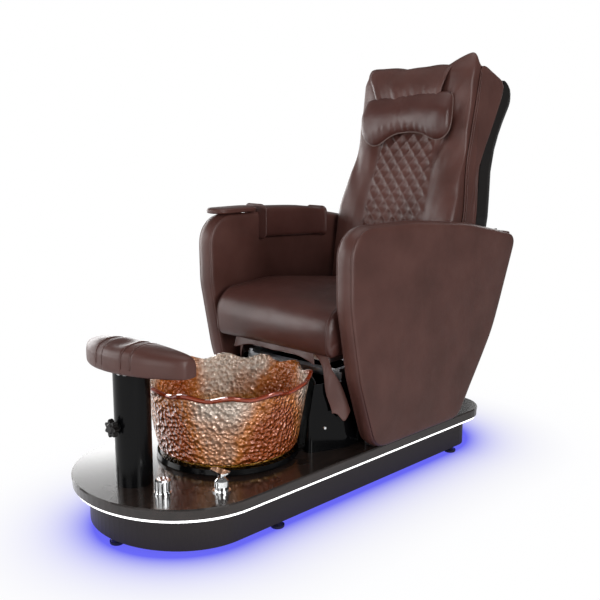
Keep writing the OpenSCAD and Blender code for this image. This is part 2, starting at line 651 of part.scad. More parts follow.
module arm_tray() color(leather) placed() translate([-tray_x, tray_pivot_y, tray_z]) difference() {
    loft([for (s = [[0, 5], [2, 1.5], [5, 0], [tray_t - 5, 0], [tray_t - 2, 1.5], [tray_t, 5]])
        [for (p = tray_plan(tray_half_w - s[1])) [p.x, p.y, s[0]]]]);
    translate([0, 0, -1]) cylinder(h = 14, r = 7 + run_gap);
}

// ---------------------------------------------------------------- footrest

post_top = deck_h + post_h;
inner_r = post_r - post_wall - run_gap;
knob_z = deck_h + knob_h;

module footrest_post() color(black) placed() translate([0, post_y, 0]) difference() {
    translate([0, 0, deck_h]) cylinder(h = post_h, r = post_r, $fn = 96);
    translate([0, 0, deck_h - 1]) cylinder(h = post_h + 2, r = post_r - post_wall, $fn = 96);
    translate([0, 0, knob_z]) rotate([90, 0, 0]) cylinder(h = post_r + 10, r = 11);
}

module post_flange() color(black) placed() translate([0, post_y, deck_h]) difference() {
    union() {
        cylinder(h = 5, r = post_r - post_wall - 0.2, $fn = 96);
        cylinder(h = 60, r = 20);
    }
    for (i = [0:3]) rotate(45 + 90 * i) translate([34, 0, -1]) cylinder(h = 10, r = 4);
    translate([0, 0, -1]) cylinder(h = 80, r = 14);
}

module clamp_boss() color(black) placed() translate([0, post_y, knob_z]) rotate([90, 0, 0]) difference() {
    union() {
        translate([0, 0, post_r - post_wall + 0.5]) cylinder(h = post_wall + 4.5, r = 10.9);
        translate([0, 0, post_r + 1]) cylinder(h = 4, r = 16);
    }
    cylinder(h = 120, r = 6 + run_gap);
}

// Outline of the seven-lobed knob, set in by d
function knob_outline(d) = [for (i = [0:69]) let (a = 360 * i / 70) (knob_r - d - 4 + 4 * cos(7 * a)) * [cos(a), sin(a)]];

module clamp_knob() color(black) placed() translate([0, post_y, knob_z]) rotate([90, 0, 0]) {
    translate([0, 0, post_r - post_wall + 2]) cylinder(h = 20, r = 6);
    translate([0, 0, post_r + 6]) {
        cylinder(h = 6, r = 14);
        translate([0, 0, 5]) linear_extrude(2) polygon(knob_outline(2));
        translate([0, 0, 7]) linear_extrude(11) polygon(knob_outline(0));
        translate([0, 0, 18]) linear_extrude(2) polygon(knob_outline(2));
        translate([0, 0, 19]) cylinder(h = 5, r1 = knob_r - 11, r2 = knob_r - 16);
    }
}

// The inner tube reaches below the clamp even when the footrest is raised
tube_low = knob_z - rise - 20;
tube_top = post_top + 1;
tube_wall = 3;
module footrest_tube() color(chrome) placed() translate([0, post_y, 0]) difference() {
    translate([0, 0, tube_low]) cylinder(h = tube_top - tube_low, r = inner_r, $fn = 96);
    translate([0, 0, tube_low - 1]) cylinder(h = tube_top - tube_low + 2, r = inner_r - tube_wall, $fn = 96);
}

plate_z = tube_top + clear;
plate_t = 5;
module at_pad() { placed() translate([0, post_y, 0]) rotate(pad_turn) children(); }
module footrest_plate() color(steel) at_pad() {
    translate([0, 0, plate_z]) cylinder(h = plate_t, r = post_r - 2, $fn = 96);
    translate([0, 0, post_top - 50]) cylinder(h = plate_z + plate_t - post_top + 50, r = inner_r - tube_wall - run_gap, $fn = 96);
    both_sides() box([30, -8, plate_z], [110, 30, plate_z + plate_t]);
}

// The pad seen from above is a swept wing; u runs from tip to tip
pad_rear = 55;            // the rear edge's distance behind the post's axis
function pad_front(u) = pad_sweep * pow(abs(u), 2.2) - (pad_d - pad_rear);
function pad_end(u) = sqrt(max(0.0001, 1 - pow(max(0, abs(u) - 0.86) / 0.145, 2)));
function pad_top(u) = (pad_t * (1 - 0.62 * pow(abs(u), 2.4)) - pad_dip * exp(-pow(u / 0.18, 2))) * (0.6 + 0.4 * pad_end(u));
function power_of(v, e) = sign(v) * pow(abs(v), e);
// Section of the pad at u: a rounded cushion that shrinks at the tips and dips in the middle
function pad_section(u) =
    let (mid = (pad_front(u) + pad_rear) / 2, half = (pad_rear - pad_front(u)) / 2 * (0.5 + 0.5 * pad_end(u)))
    [for (i = [0:23]) [u * pad_half_w, mid + half * power_of(cos(15 * i), 0.55),
        plate_z + plate_t + clear + pad_top(u) * (1 + power_of(sin(15 * i), 0.6)) / 2]];

module footrest_cushion() color(leather) at_pad()
    loft([for (k = [-12:12]) pad_section(k / 12)]);

// ---------------------------------------------------------------- taps

module mixer_base() color(chrome) placed() translate([mixer_x, mixer_y, deck_h]) difference() {
    union() {
        cylinder(h = 4, r = mixer_r + 5);
        translate([0, 0, 4]) cylinder(h = 12, r = mixer_r - 1);
        translate([0, 0, -18]) cylinder(h = 19, r = mixer_r - 6);
        translate([0, 0, 16]) cylinder(h = 8, r = 10);
    }
    translate([0, 0, -20]) cylinder(h = 20, r = mixer_r - 9);
}

mixer_top = deck_h + 16 + clear;
lever_z = mixer_top + 31;
module mixer_cap() color(chrome) placed() translate([mixer_x, mixer_y, mixer_top]) difference() {
    union() {
        cylinder(h = 15, r1 = mixer_r, r2 = mixer_r - 2);
        translate([0, 0, 15]) cylinder(h = 8, r1 = mixer_r - 2, r2 = mixer_r - 9);
        box([-6, -4, 18], [6, 4, lever_z - mixer_top]);
        along_y([0, -4, lever_z - mixer_top], 4, 6);
    }
    translate([0, 0, -1]) cylinder(h = 10, r = 10 + run_gap);
    along_y([0, -10, lever_z - mixer_top], 10, 2.5 + run_gap);
}

module mixer_lever() color(chrome) placed() translate([mixer_x, mixer_y, lever_z]) {
    along_y([0, -9, 0], 9, 2.5);
    for (side = [-1, 1]) box([-7, side < 0 ? -9 : 5, -5], [7, side < 0 ? -5 : 9, 7]);
    translate([0, 0, 6.5]) linear_extrude(4) polygon(rounded(
        [[-34, -12], [-44, 0], [-34, 12], [20, 17], [24, 0], [20, -17]], [4, 6, 4, 5, 12, 5], 4));
}

module diverter_base() color(chrome) placed() translate([diverter_x, diverter_y, deck_h]) {
    cylinder(h = 5, r = diverter_r + 3);
    translate([0, 0, 5]) cylinder(h = 14, r = 7);
    translate([0, 0, -16]) cylinder(h = 17, r = 8.5);
}

module diverter_knob() color(chrome) placed() translate([diverter_x, diverter_y, deck_h + 5 + clear]) difference() {
    union() {
        cylinder(h = 32, r = diverter_r);
        translate([0, 0, 32]) cylinder(h = 4, r1 = diverter_r, r2 = diverter_r - 5);
    }
    translate([0, 0, -1]) cylinder(h = 17, r = 7 + run_gap);
    for (i = [0:11]) rotate(30 * i) translate([diverter_r + 1.6, 0, 5]) cylinder(h = 40, r = 2.6, $fn = 16);
}

// ---------------------------------------------------------------- seat

frame_bar = 25;
seat_frame_top = runner_top + frame_bar;
seat_under_h = seat_frame_top + seat_board;
module seat_frame() color(steel) placed() {
    both_sides() box([stand_x - rail_w, runner_y[0], runner_top], [stand_x + rail_w, hinge_y - 20, seat_frame_top]);
    for (y = [runner_y[0], 1090, hinge_y - 90]) box([-stand_x + rail_w, y, runner_top], [stand_x - rail_w, y + 30, seat_frame_top]);
    box([-stand_x - rail_w, seat_front_y + 64, seat_frame_top], [stand_x + rail_w, seat_rear_y - 20, seat_under_h]);
    box([-12, 1090 + 30, runner_top], [12, 1180, runner_top + 20]);
}

seat_side = rounded([[seat_front_y + 4, seat_under_h + seat_t - 24], [seat_front_y + 12, seat_under_h],
    [seat_rear_y, seat_under_h], [seat_rear_y, seat_under_h + seat_t - 46], [seat_front_y + 250, seat_under_h + seat_t - 4]],
    [88, 26, 24, 40, 500], 6);
// Section of the seat at x: crowned across, fuller at the front, drawn in at its sides
function seat_section(x) =
    let (t = x / seat_half_w, full = bulge(t, 2.5), rim = pow(abs(t), 24) * 13)
    [for (p = inset(seat_side, rim))
        let (up = (p.y - seat_under_h) / seat_t, fore = (seat_rear_y - p.x) / (seat_rear_y - seat_front_y))
        [x, p.x - 16 * full * pow(fore, 6) * bulge(2 * up - 1), p.y + (8 * full - 4) * up - 4 * full * up * bulge(2 * fore - 1)]];

module seat_cushion() color(leather) placed() loft([for (t = [-1, -0.985, -0.94, -0.85, -0.6, -0.3, 0, 0.3, 0.6, 0.85, 0.94, 0.985, 1])
    seat_section(t * seat_half_w)]);

// The apron hangs from under the seat's front edge and drops outside the pedestal's cheeks;
// one half of its plan is given at its top and at its hem, as distance from the seat's front
apron_top_half = smooth([[0, 44], [110, 43], [180, 44], [222, 52], [239, 84], [243, 110]], 3);
apron_hem_half = smooth([[0, 30], [110, 28], [186, 32], [246, 26], [268, 64], [269, 98]], 3);
apron_hem_z = smooth([[0, 448], [5, 448], [8, 452], [10, 356], [13, 258], [15, 318]], 3);
apron_t = 3;
function apron_half(k) = let (n = len(apron_top_half) - 1)
    [for (i = [-n:n]) let (j = abs(i), fall = 1 - k / 6, top = apron_top_half[j], hem = apron_hem_half[j],
        p = between(top, hem, pow(fall, 0.7)), fold = (2 * sin(80 * i) + sin(47 * i)) * fall)
        [sign(i) * p.x, seat_front_y + p.y + fold, between(seat_under_h, apron_hem_z[j].y, fall)]];
function apron_grid(deep) = [for (k = [0:6]) let (row = apron_half(k), m = len(row) - 1)
    [for (i = [0:m]) let (t = unit(row[min(i + 1, m)] - row[max(i - 1, 0)]), side = unit([t.y, -t.x, 0]))
        row[i] - deep * side]];

module seat_apron() color(leather) placed() sheet(apron_grid(0), apron_grid(apron_t));

hinge_plate_x = 226;
module hinge_brackets() color(steel) placed() both_sides() {
    difference() {
        box([hinge_plate_x, hinge_y - 78, runner_top], [hinge_plate_x + 6, hinge_y + 18, hinge_h + 18]);
        along_x([hinge_plate_x - 1, hinge_y, hinge_h], hinge_plate_x + 10, hinge_pin_r);
    }
    box([stand_x + rail_w, hinge_y - 78, runner_top], [hinge_plate_x, hinge_y - 20, runner_top + 6]);
}

// The recline actuator: its tube hangs from the seat frame, and the pin at its rod's end runs in a
// short slot in the back's lever, because the lever's end moves on an arc and the rod straight
recline = 30;
lever_lag = recline / 2;
lever_h = 98;
lever_far = lever_h / cos(lever_lag);
recline_z = hinge_h - lever_h;
recline_pin_r = 5;
slot_gap = 0.5;            // the pin strays 0.23 from the middle of its slot half way
recline_rod_r = 8;
recline_pin_y = hinge_y + lever_h * tan(lever_lag);
recline_tube_y = [930, 1230];

module recline_actuator_tube() color([0.15, 0.15, 0.16]) placed() difference() {
    union() {
        along_y([0, recline_tube_y[0], recline_z], recline_tube_y[1], 14);
        box([-10, 1092, recline_z], [10, 1112, runner_top]);
        along_y([-44, recline_tube_y[0] - 30, recline_z - 6], recline_tube_y[0] + 70, 20);
        box([-30, recline_tube_y[0] - 6, recline_z - 14], [0, recline_tube_y[0] + 20, recline_z + 12]);
    }
    along_y([0, 1000, recline_z], recline_tube_y[1] + 1, recline_rod_r + run_gap);
}

module recline_actuator_rod() color(chrome) placed() difference() {
    union() {
        along_y([0, 1080, recline_z], recline_pin_y - 6, recline_rod_r);
        along_x([-7, recline_pin_y, recline_z], 7, 11);
        along_x([-19, recline_pin_y, recline_z], 19, recline_pin_r);
    }
}

module hinge_pins() color(chrome) placed() both_sides() {
    along_x([hinge_arm_x - 7, hinge_y, hinge_h], 238, hinge_pin_r);
    along_x([hinge_plate_x + 6, hinge_y, hinge_h], 238, hinge_pin_r + 4);
}

// ---------------------------------------------------------------- back

// Half the width of the back, z up it: wide between the arms and narrow above them
function back_half_w(z) = between(back_low_w, back_top_w, ease((z - 330) / 240));
// Front of the cushion at its edges and at its middle, by how far up the back
cushion_edge = smooth([[0.05, -88], [0.15, -104], [0.25, -116], [0.37, -124], [0.5, -105], [0.63, -83], [0.7, -74],
                       [0.76, -84], [0.84, -91], [0.95, -102], [1.02, -100]], 3);
cushion_mid = smooth([[0.05, -84], [0.34, -99], [0.48, -94], [0.69, -84], [0.8, -85], [0.92, -100], [1.02, -92]], 3);
function cushion_y(x, z) =
    between(lookup(z / back_h, cushion_mid), lookup(z / back_h, cushion_edge), pow(min(1, abs(x) / (back_half_w(z) - 26)), 2));
upright_x = [176, 198];
hinge_arm_x = 215;        // inner face of the arm that the hinge pin passes through
upright_y = [50, 74];
rail_span = [122, back_h - 70];

module back_frame() color(steel) at_hinge() {
    both_sides() {
        box([upright_x[0], upright_y[0], 36], [upright_x[1], upright_y[1], back_h - 40]);
        difference() {
            union() {
                box([hinge_arm_x, -20, -18], [hinge_arm_x + 6, upright_y[1], 84]);
                box([upright_x[1], upright_y[0], 48], [hinge_arm_x, upright_y[1], 84]);
            }
            along_x([hinge_arm_x - 1, 0, 0], hinge_arm_x + 10, hinge_pin_r + run_gap);
        }
    }
    for (z = [rail_span[0] - 20, rail_span[1]])
        box([-upright_x[0], upright_y[0], z], [upright_x[0], upright_y[1], z + 20]);
    difference() {
        union() {
            along_x([-hinge_arm_x, 0, 0], hinge_arm_x, 11);
            rotate([lean + lever_lag, 0, 0]) both_sides()
                box([11, -10, -lever_far - 12], [17, 10, 6]);
        }
        both_sides() along_x([hinge_arm_x - 9, 0, 0], hinge_arm_x + 1, hinge_pin_r + run_gap);
        rotate([lean + lever_lag, 0, 0]) for (z = [lever_h - 0.4, (lever_h + lever_far) / 2, lever_far + 0.4])
            along_x([-20, 0, -z], 20, recline_pin_r + slot_gap);
    }
}

// Rails with a groove on their inner side, in which the carriage's shoes run
rail_x_in = 150;
groove_y = [58, 67];
module massage_rails() color(chrome) at_hinge() both_sides() difference() {
    box([rail_x_in, upright_y[0], rail_span[0]], [rail_x_in + 24, upright_y[1], rail_span[1]]);
    box([rail_x_in - 1, groove_y[0], rail_span[0] - 1], [rail_x_in + 17, groove_y[1], rail_span[1] + 1]);
}

carriage_z = rail_span[0] + 30;
carriage_h = 96;
shaft_z = carriage_z + carriage_h / 2;
shaft_r = 7;
shaft_y = 12;
module massage_carriage() color([0.2, 0.2, 0.22]) at_hinge() difference() {
    union() {
        box([-rail_x_in + 4, groove_y[0] - 2, carriage_z], [rail_x_in - 4, groove_y[1] + 3, carriage_z + carriage_h]);
        both_sides() for (z = [carriage_z, carriage_z + carriage_h - 24])
            box([rail_x_in - 4, groove_y[0] + clear, z], [rail_x_in + 15, groove_y[1] - clear, z + 24]);
        both_sides() box([122, shaft_y - 12, shaft_z - 16], [130, groove_y[0], shaft_z + 16]);
    }
    along_x([-140, shaft_y, shaft_z], 140, shaft_r + run_gap);
    box([-90, groove_y[0] - 3, shaft_z - 20], [90, groove_y[1] + 4, shaft_z + 20]);
}

module massage_motor() color(black) at_hinge() {
    along_x([-100, groove_y[1] + 3 + 17, carriage_z + 20], 20, 17);
    box([20, groove_y[1] + 3, carriage_z + 2], [62, groove_y[1] + 38, carriage_z + 46]);
}

ball_r = 22;
module massage_rollers() color([0.25, 0.12, 0.1]) at_hinge() translate([0, shaft_y, shaft_z]) {
    along_x([-134, 0, 0], 134, shaft_r);
    both_sides() for (z = [-1, 1]) {
        translate([70, -15, z * 55]) sphere(r = ball_r, $fn = 32);
        hull() {
            along_x([64, 0, z * 8], 76, 9, $fn = 24);
            along_x([64, -15, z * 50], 76, 8, $fn = 24);
        }
    }
}

// The rear shell wraps the mechanism: rows climb its profile, columns run round it
shell_run = smooth(shell_profile, 2);
shell_low = 40;
function shell_row(k, d) =
    let (m = len(shell_run) - 1, t = unit(shell_run[min(k + 1, m)] - shell_run[max(k - 1, 0)]),
         p = shell_run[k] + d * [-t.y, t.x],
         edge_z = between(shell_low, back_h - 2 - d, (shell_run[k].y - shell_run[0].y) / (shell_run[m].y - shell_run[0].y)),
         w = back_half_w(edge_z) - 3 - d, split = wall_rear(edge_z) + clear)
    [for (i = [-12:12]) let (a = 7.5 * i, c = pow(max(0, cos(a)), 0.33))
        [w * power_of(sin(a), 0.33), between(split, p.x, c), between(edge_z, p.y, c)]];

module back_shell() color(black) at_hinge()
    sheet([for (k = [0:len(shell_run) - 1]) shell_row(k, shell_wall)], [for (k = [0:len(shell_run) - 1]) shell_row(k, 0)]);

// The side walls stand between the cushion and the shell, with a softened outer edge
side_wall_t = 22;
wall_low = [[side_front, 118], [side_front + 10, 92], [-20, 72], [40, 62]];
wall_top = [[side_front, back_h - 6], [side_front + 8, back_h + 10], [-30, back_h + 16], [78, back_h + 2], [110, back_h - 16]];
wall_across = [0, 0.06, 0.3, 0.5, 0.7, 0.94, 1];
wall_up = [0, 0.01, 0.1, 0.2, 0.3, 0.36, 0.42, 0.48, 0.54, 0.6, 0.7, 0.78, 0.84, 0.9, 0.95, 0.99, 1];
function wall_grid(outer) = let (m = len(wall_up) - 1, n = len(wall_across) - 1) [for (k = [0:m]) [for (i = [0:n])
    let (y = between(side_front, wall_rear(wall_up[k] * back_h), wall_across[i]),
         z = between(lookup(y, wall_low), lookup(y, wall_top), wall_up[k]),
         rim = k == 0 || k == m || i == 0 || i == n)
    [back_half_w(z) - (outer ? (rim ? 5 : 0) : side_wall_t), y, z]]];
module back_side_walls() color(leather) at_hinge() both_sides() sheet(wall_grid(true), wall_grid(false));

// Plan section of the back cushion, z up it: its front half laps the side walls, its rear half lies
// between them
cushion_low = 44;
cushion_seam = side_front - 3;
cushion_back = [[back_h - 112, -40], [back_h - 72, 24], [back_h - 34, 24], [back_h - 25, 96]];
cushion_up = concat([cushion_low + 2, cushion_low + 14], [for (i = [0:10]) between(cushion_low + 40, back_h - 112, i / 10)],
                    [for (d = [72, 34, 25, 10, -4]) back_h - d]);
function cushion_ring(z) =
    let (end = min(1, (z - cushion_low) / 40, (back_h + 6 - z) / 46), round = sqrt(1 - pow(1 - end, 2)),
         wide = (back_half_w(z) - 8) * (0.9 + 0.1 * round), slim = (back_half_w(z) - side_wall_t - soft_gap) * (0.9 + 0.1 * round))
    concat([for (i = [0:14]) let (a = 180 + 180 * i / 14, x = wide * power_of(cos(a), 0.5))
               [x, between(cushion_seam, cushion_y(x, z) + 22 * (1 - round), pow(abs(sin(a)), 0.5)), z]],
           [for (i = [0:14]) let (a = 180 * i / 14)
               [slim * power_of(cos(a), 0.4), between(cushion_seam, lookup(z, cushion_back), pow(abs(sin(a)), 0.4)), z]]);

module back_cushion() color(leather) at_hinge() loft([for (z = cushion_up) cushion_ring(z)]);

// Quilted middle of the cover: seams cross where the diamonds meet, and each diamond is padded.
// Its ears stand up at the top corners
quilt_half_w = 122;
quilt_z = [286, back_h - 204];
quilt_cols = 10;
quilt_rows = 14;
quilt_gap = 1.5;
function quilt_row(k, lift) = [for (i = [0:quilt_cols])
    let (x = quilt_half_w * (2 * i / quilt_cols - 1), z = between(quilt_z[0], quilt_z[1], k / quilt_rows),
         pad = (i + k) % 2 * lift)
    [x, cushion_y(x, z) - quilt_gap - (lift > 0 ? 4 + pad : 0), z]];
ear_y = [-84, -68];
ear_x = back_top_w - 86;
module quilted_cover() color(leather) at_hinge() {
    sheet([for (k = [0:quilt_rows]) quilt_row(k, 5)], [for (k = [0:quilt_rows]) quilt_row(k, 0)], chequered = true);
    both_sides() translate([0, ear_y[1], 0]) rotate([90, 0, 0]) linear_extrude(ear_y[1] - ear_y[0])
        polygon(rounded([[ear_x, back_h + 4 + clear], [back_top_w - 4, back_h + 4 + clear],
                         [back_top_w - 10, back_h + ear_h + 4], [ear_x + 50, back_h + ear_h - 6]], [2, 4, 8, 14]));
}

// Kidney-shaped pillow: two lobes that hang lower than its middle, turned a little in its own plane
pillow_z = back_h - 182;
pillow_y = -124;
pillow_turn = -4;
lobe_x = 140;
function pillow_section(u) =
    let (x = pillow_half_w * sin(90 * u), lobe = exp(-pow((abs(x) - lobe_x) / 60, 2)), end = pow(max(0.02, cos(90 * u)), 0.45),
         up = 0.49 * pillow_h * end, down = (0.29 + 0.21 * lobe) * pillow_h * end, t = pillow_t / 2 * end)
    [for (i = [0:19]) let (s = sin(18 * i))
        [x, t * power_of(cos(18 * i), 0.8), s > 0 ? s * up : s * down]];
module head_pillow() color(leather) at_hinge() translate([0, pillow_y, pillow_z]) rotate([0, pillow_turn, 0])
    loft([for (k = [-8:8]) pillow_section(k / 8)]);

// The pillow's flap runs from its top over the back and hangs down behind
strap_half_w = 155;
module pillow_strap() color(leather) at_hinge() rotate([90, 0, 90]) linear_extrude(2 * strap_half_w, center = true)
    polygon(concat(strap_path, [for (k = [len(strap_path) - 1:-1:0]) strap_outer[k]]));

deck();
edge_light_strip();
skirt();
base_frame();
underglow_tape();
levelling_feet();
basin_ring();
glass_basin();
drain_strainer();
drain_pipe();
discharge_pump();
supply_hoses();
water_inlets();
power_inlet();
control_box();
seat_pedestal();
pedestal_screws();
seat_stand();
slide_rails();
slide_actuator_tube();
side_panel_left();
side_panel_right();
panel_brackets();
arm_pad();
arm_catches();
catch_tabs();
tray_post();
arm_tray();
footrest_post();
post_flange();
clamp_boss();
footrest_tube();
footrest_plate();
footrest_cushion();
clamp_knob();
mixer_base();
mixer_cap();
mixer_lever();
diverter_base();
diverter_knob();
seat_runners();
seat_frame();
slide_actuator_rod();
seat_cushion();
seat_apron();
hinge_brackets();
hinge_pins();
recline_actuator_tube();
recline_actuator_rod();
back_frame();
massage_rails();
massage_carriage();
massage_motor();
massage_rollers();
back_shell();
back_side_walls();
back_cushion();
quilted_cover();
head_pillow();
pillow_strap();
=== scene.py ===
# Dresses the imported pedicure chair: leather, glass, gloss black, chrome and its lights.
import bpy, bmesh, math
from functools import partial
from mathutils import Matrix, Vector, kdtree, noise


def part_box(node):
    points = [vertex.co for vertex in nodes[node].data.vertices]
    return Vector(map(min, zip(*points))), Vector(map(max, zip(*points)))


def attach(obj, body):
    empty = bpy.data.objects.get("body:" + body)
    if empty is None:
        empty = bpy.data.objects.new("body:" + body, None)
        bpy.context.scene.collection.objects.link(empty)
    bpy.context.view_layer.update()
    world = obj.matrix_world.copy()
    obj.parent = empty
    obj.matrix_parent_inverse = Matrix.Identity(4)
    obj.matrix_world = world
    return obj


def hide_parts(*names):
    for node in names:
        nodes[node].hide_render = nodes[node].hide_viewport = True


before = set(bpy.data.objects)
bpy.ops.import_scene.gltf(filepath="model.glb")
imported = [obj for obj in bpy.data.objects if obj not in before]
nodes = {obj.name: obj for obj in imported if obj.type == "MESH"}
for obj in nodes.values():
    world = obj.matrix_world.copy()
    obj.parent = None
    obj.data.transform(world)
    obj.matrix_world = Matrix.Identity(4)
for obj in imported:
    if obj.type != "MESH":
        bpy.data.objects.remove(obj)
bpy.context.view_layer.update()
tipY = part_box("deck")[0][1]      # the deck's front tip; s is measured back from it
print("frame loaded")

# camera and lights
view = {"spot": (2.026, tipY - 1.2957, 1.146), "target": (0.0, tipY + 0.8264, 0.5999),
        "lens": 54.16, "sensor": 36}
lamps = {     # place, target, size, watts
    "keyLight": ((-2.7, -3.3, 1.6), (0, 0, 0.6), (2.2, 2.4), 84),
    "frontLight": ((1.2, -4.8, 1.2), (0, 0, 0.6), (2.6, 1.8), 54),
    "leftLight": ((-3.6, -0.4, 1.1), (0, 0, 0.5), (1.6, 2.0), 44),
    "deckLight": ((-3.4, 1.25, 0.95), (0, -0.6, 0.2), (1.5, 1.1), 23),
    "sideLight": ((3.8, -0.9, 1.5), (0, 0.1, 0.5), (1.8, 2.0), 98),
    "rearLight": ((-0.8, 4.4, 1.8), (0, 0, 0.6), (2.4, 2.0), 26),
    "topLight": ((0.2, 0.3, 3.6), (0, 0, 0), (2.6, 2.6), 26),
}

def aim(obj, spot, target):
    obj.location = spot
    obj.rotation_euler = (Vector(target) - Vector(spot)).to_track_quat("-Z", "Y").to_euler()

def addCamera():
    cam = bpy.data.objects.new("camera", bpy.data.cameras.new("camera"))
    bpy.context.collection.objects.link(cam)
    aim(cam, view["spot"], view["target"])
    cam.data.lens = view["lens"]
    cam.data.sensor_width = view["sensor"]
    bpy.context.scene.camera = cam

def addLight(name, spot, target, size, watts):
    lamp = bpy.data.lights.new(name, "AREA")
    lamp.shape, lamp.size, lamp.size_y = "RECTANGLE", size[0], size[1]
    lamp.energy = watts
    obj = bpy.data.objects.new(name, lamp)
    bpy.context.collection.objects.link(obj)
    aim(obj, spot, target)

addCamera()
for name, lamp in lamps.items():
    addLight(name, *lamp)
scene = bpy.context.scene
scene.view_settings.view_transform = "Standard"

# node helpers

def addNode(tree, kind, **values):
    node = tree.nodes.new(kind)
    for key, value in values.items():
        if key in node.inputs:
            node.inputs[key].default_value = value
        else:
            setattr(node, key, value)
    return node

def newMaterial(name, colour, rough, metal=0.0, **more):
    mat = bpy.data.materials.new(name)
    mat.use_nodes = True
    shader = mat.node_tree.nodes["Principled BSDF"]
    shader.inputs["Base Color"].default_value = (*colour, 1)
    shader.inputs["Roughness"].default_value = rough
    shader.inputs["Metallic"].default_value = metal
    for key, value in more.items():
        shader.inputs[key.replace("_", " ")].default_value = value
    return mat

def pattern(mat, kind, scale, stretch=(1, 1, 1), **values):
    tree = mat.node_tree
    place = addNode(tree, "ShaderNodeTexCoord")
    size = addNode(tree, "ShaderNodeMapping")
    size.inputs["Scale"].default_value = stretch
    tex = addNode(tree, kind, Scale=scale, **values)
    tree.links.new(place.outputs["Object"], size.inputs["Vector"])
    tree.links.new(size.outputs["Vector"], tex.inputs["Vector"])
    return tex

def ramp(mat, source, stops):
    node = addNode(mat.node_tree, "ShaderNodeValToRGB")
    mat.node_tree.links.new(source, node.inputs["Fac"])
    while len(node.color_ramp.elements) < len(stops):
        node.color_ramp.elements.new(0.5)
    for element, (at, colour) in zip(node.color_ramp.elements, stops):
        element.position = at
        element.color = (*colour, 1)
    return node.outputs["Color"]

def mathStep(tree, operation, a, b=None):
    node = addNode(tree, "ShaderNodeMath", operation=operation)
    for socket, value in zip(node.inputs, (a, b)):
        if value is None:
            continue
        if isinstance(value, (int, float)):
            socket.default_value = value
        else:
            tree.links.new(value, socket)
    return node.outputs[0]

def grey(level):
    return (level, level, level)

def intoShader(mat, socket, output):
    mat.node_tree.links.new(output, mat.node_tree.nodes["Principled BSDF"].inputs[socket])

def vary(mat, socket, texture, stops):
    intoShader(mat, socket, ramp(mat, texture.outputs["Fac"], stops))

def roughen(mat, layers):
    last = None
    for output, distance, strength in layers:
        bump = addNode(mat.node_tree, "ShaderNodeBump", Strength=strength, Distance=distance)
        mat.node_tree.links.new(output, bump.inputs["Height"])
        if last:
            mat.node_tree.links.new(last.outputs["Normal"], bump.inputs["Normal"])
        last = bump
    intoShader(mat, "Normal", last.outputs["Normal"])

# finishes; the textures in a look are given by their scale
leatherLook = {
    "body": {"dark": (0.070, 0.026, 0.020), "mid": (0.090, 0.035, 0.028), "worn": (0.110, 0.046, 0.037)},
    # painted shade: the seat tone is the body leather made darker, and dresses the seat, apron band, arm pad
    # and head pillow
    "seat": {"dark": (0.056, 0.020, 0.016), "mid": (0.072, 0.026, 0.021), "worn": (0.086, 0.034, 0.028)},
    "piping": {"dark": (0.120, 0.072, 0.062), "mid": (0.150, 0.092, 0.080), "worn": (0.180, 0.115, 0.100)},
    "sheen": 0.42, "clouds": 7, "patches": 24, "creases": 16, "grain": 620, "pores": 1500,
    "creaseDepth": 0.004, "grainDepth": 0.0007, "poreDepth": 0.0002,
}

def leatherFinish(name, tones, rough):
    look, tone = leatherLook, leatherLook[tones]
    mat = newMaterial(name, tone["mid"], rough, Specular_IOR_Level=look["sheen"])
    clouds = pattern(mat, "ShaderNodeTexNoise", look["clouds"], Detail=4)
    vary(mat, "Base Color", clouds, [(0.3, tone["dark"]), (0.52, tone["mid"]), (0.75, tone["worn"])])
    patches = pattern(mat, "ShaderNodeTexNoise", look["patches"], Detail=3)
    vary(mat, "Roughness", patches, [(0.3, grey(rough - 0.05)), (0.7, grey(rough + 0.07))])
    grain = pattern(mat, "ShaderNodeTexVoronoi", look["grain"], feature="SMOOTH_F1")
    pores = pattern(mat, "ShaderNodeTexNoise", look["pores"], Detail=2)
    creases = pattern(mat, "ShaderNodeTexNoise", look["creases"], Detail=3)
    roughen(mat, [(creases.outputs["Fac"], look["creaseDepth"], 0.25),
                  (grain.outputs["Distance"], look["grainDepth"], 0.35),
                  (pores.outputs["Fac"], look["poreDepth"], 0.2)])
    return mat

def plainFinish(name, colour, rough, metal=0.0, grainScale=300, grainDepth=0.0002, **more):
    mat = newMaterial(name, colour, rough, metal, **more)
    fine = pattern(mat, "ShaderNodeTexNoise", grainScale, Detail=3)
    broad = pattern(mat, "ShaderNodeTexNoise", 5, Detail=2)
    darker, lighter = tuple(c * 0.9 for c in colour), tuple(min(1, c * 1.1) for c in colour)
    vary(mat, "Roughness", broad, [(0.3, grey(max(0.02, rough * 0.8))), (0.7, grey(min(1, rough * 1.2)))])
    vary(mat, "Base Color", fine, [(0.3, darker), (0.7, lighter)])
    roughen(mat, [(fine.outputs["Fac"], grainDepth, 0.2)])
    return mat

def brushedFinish(name, colour, rough):
    mat = newMaterial(name, colour, rough, 1.0)
    lines = pattern(mat, "ShaderNodeTexNoise", 60, stretch=(1, 12, 12), Detail=5)
    vary(mat, "Roughness", lines, [(0.3, grey(rough * 0.7)), (0.7, grey(rough * 1.3))])
    roughen(mat, [(lines.outputs["Fac"], 0.0002, 0.15)])
    return mat

def glowFinish(name, colour, strength):
    mat = newMaterial(name, colour, 0.4, Emission_Strength=strength)
    mat.node_tree.nodes["Principled BSDF"].inputs["Emission Color"].default_value = (*colour, 1)
    beads = pattern(mat, "ShaderNodeTexNoise", 90, Detail=1)
    roughen(mat, [(beads.outputs["Fac"], 0.0003, 0.1)])
    return mat

deckLook = {"dark": (0.013, 0.009, 0.007), "light": (0.030, 0.020, 0.017), "rough": 0.22,
            "coatRough": 0.13, "sheen": 0.12, "streaks": 9, "haze": 3}

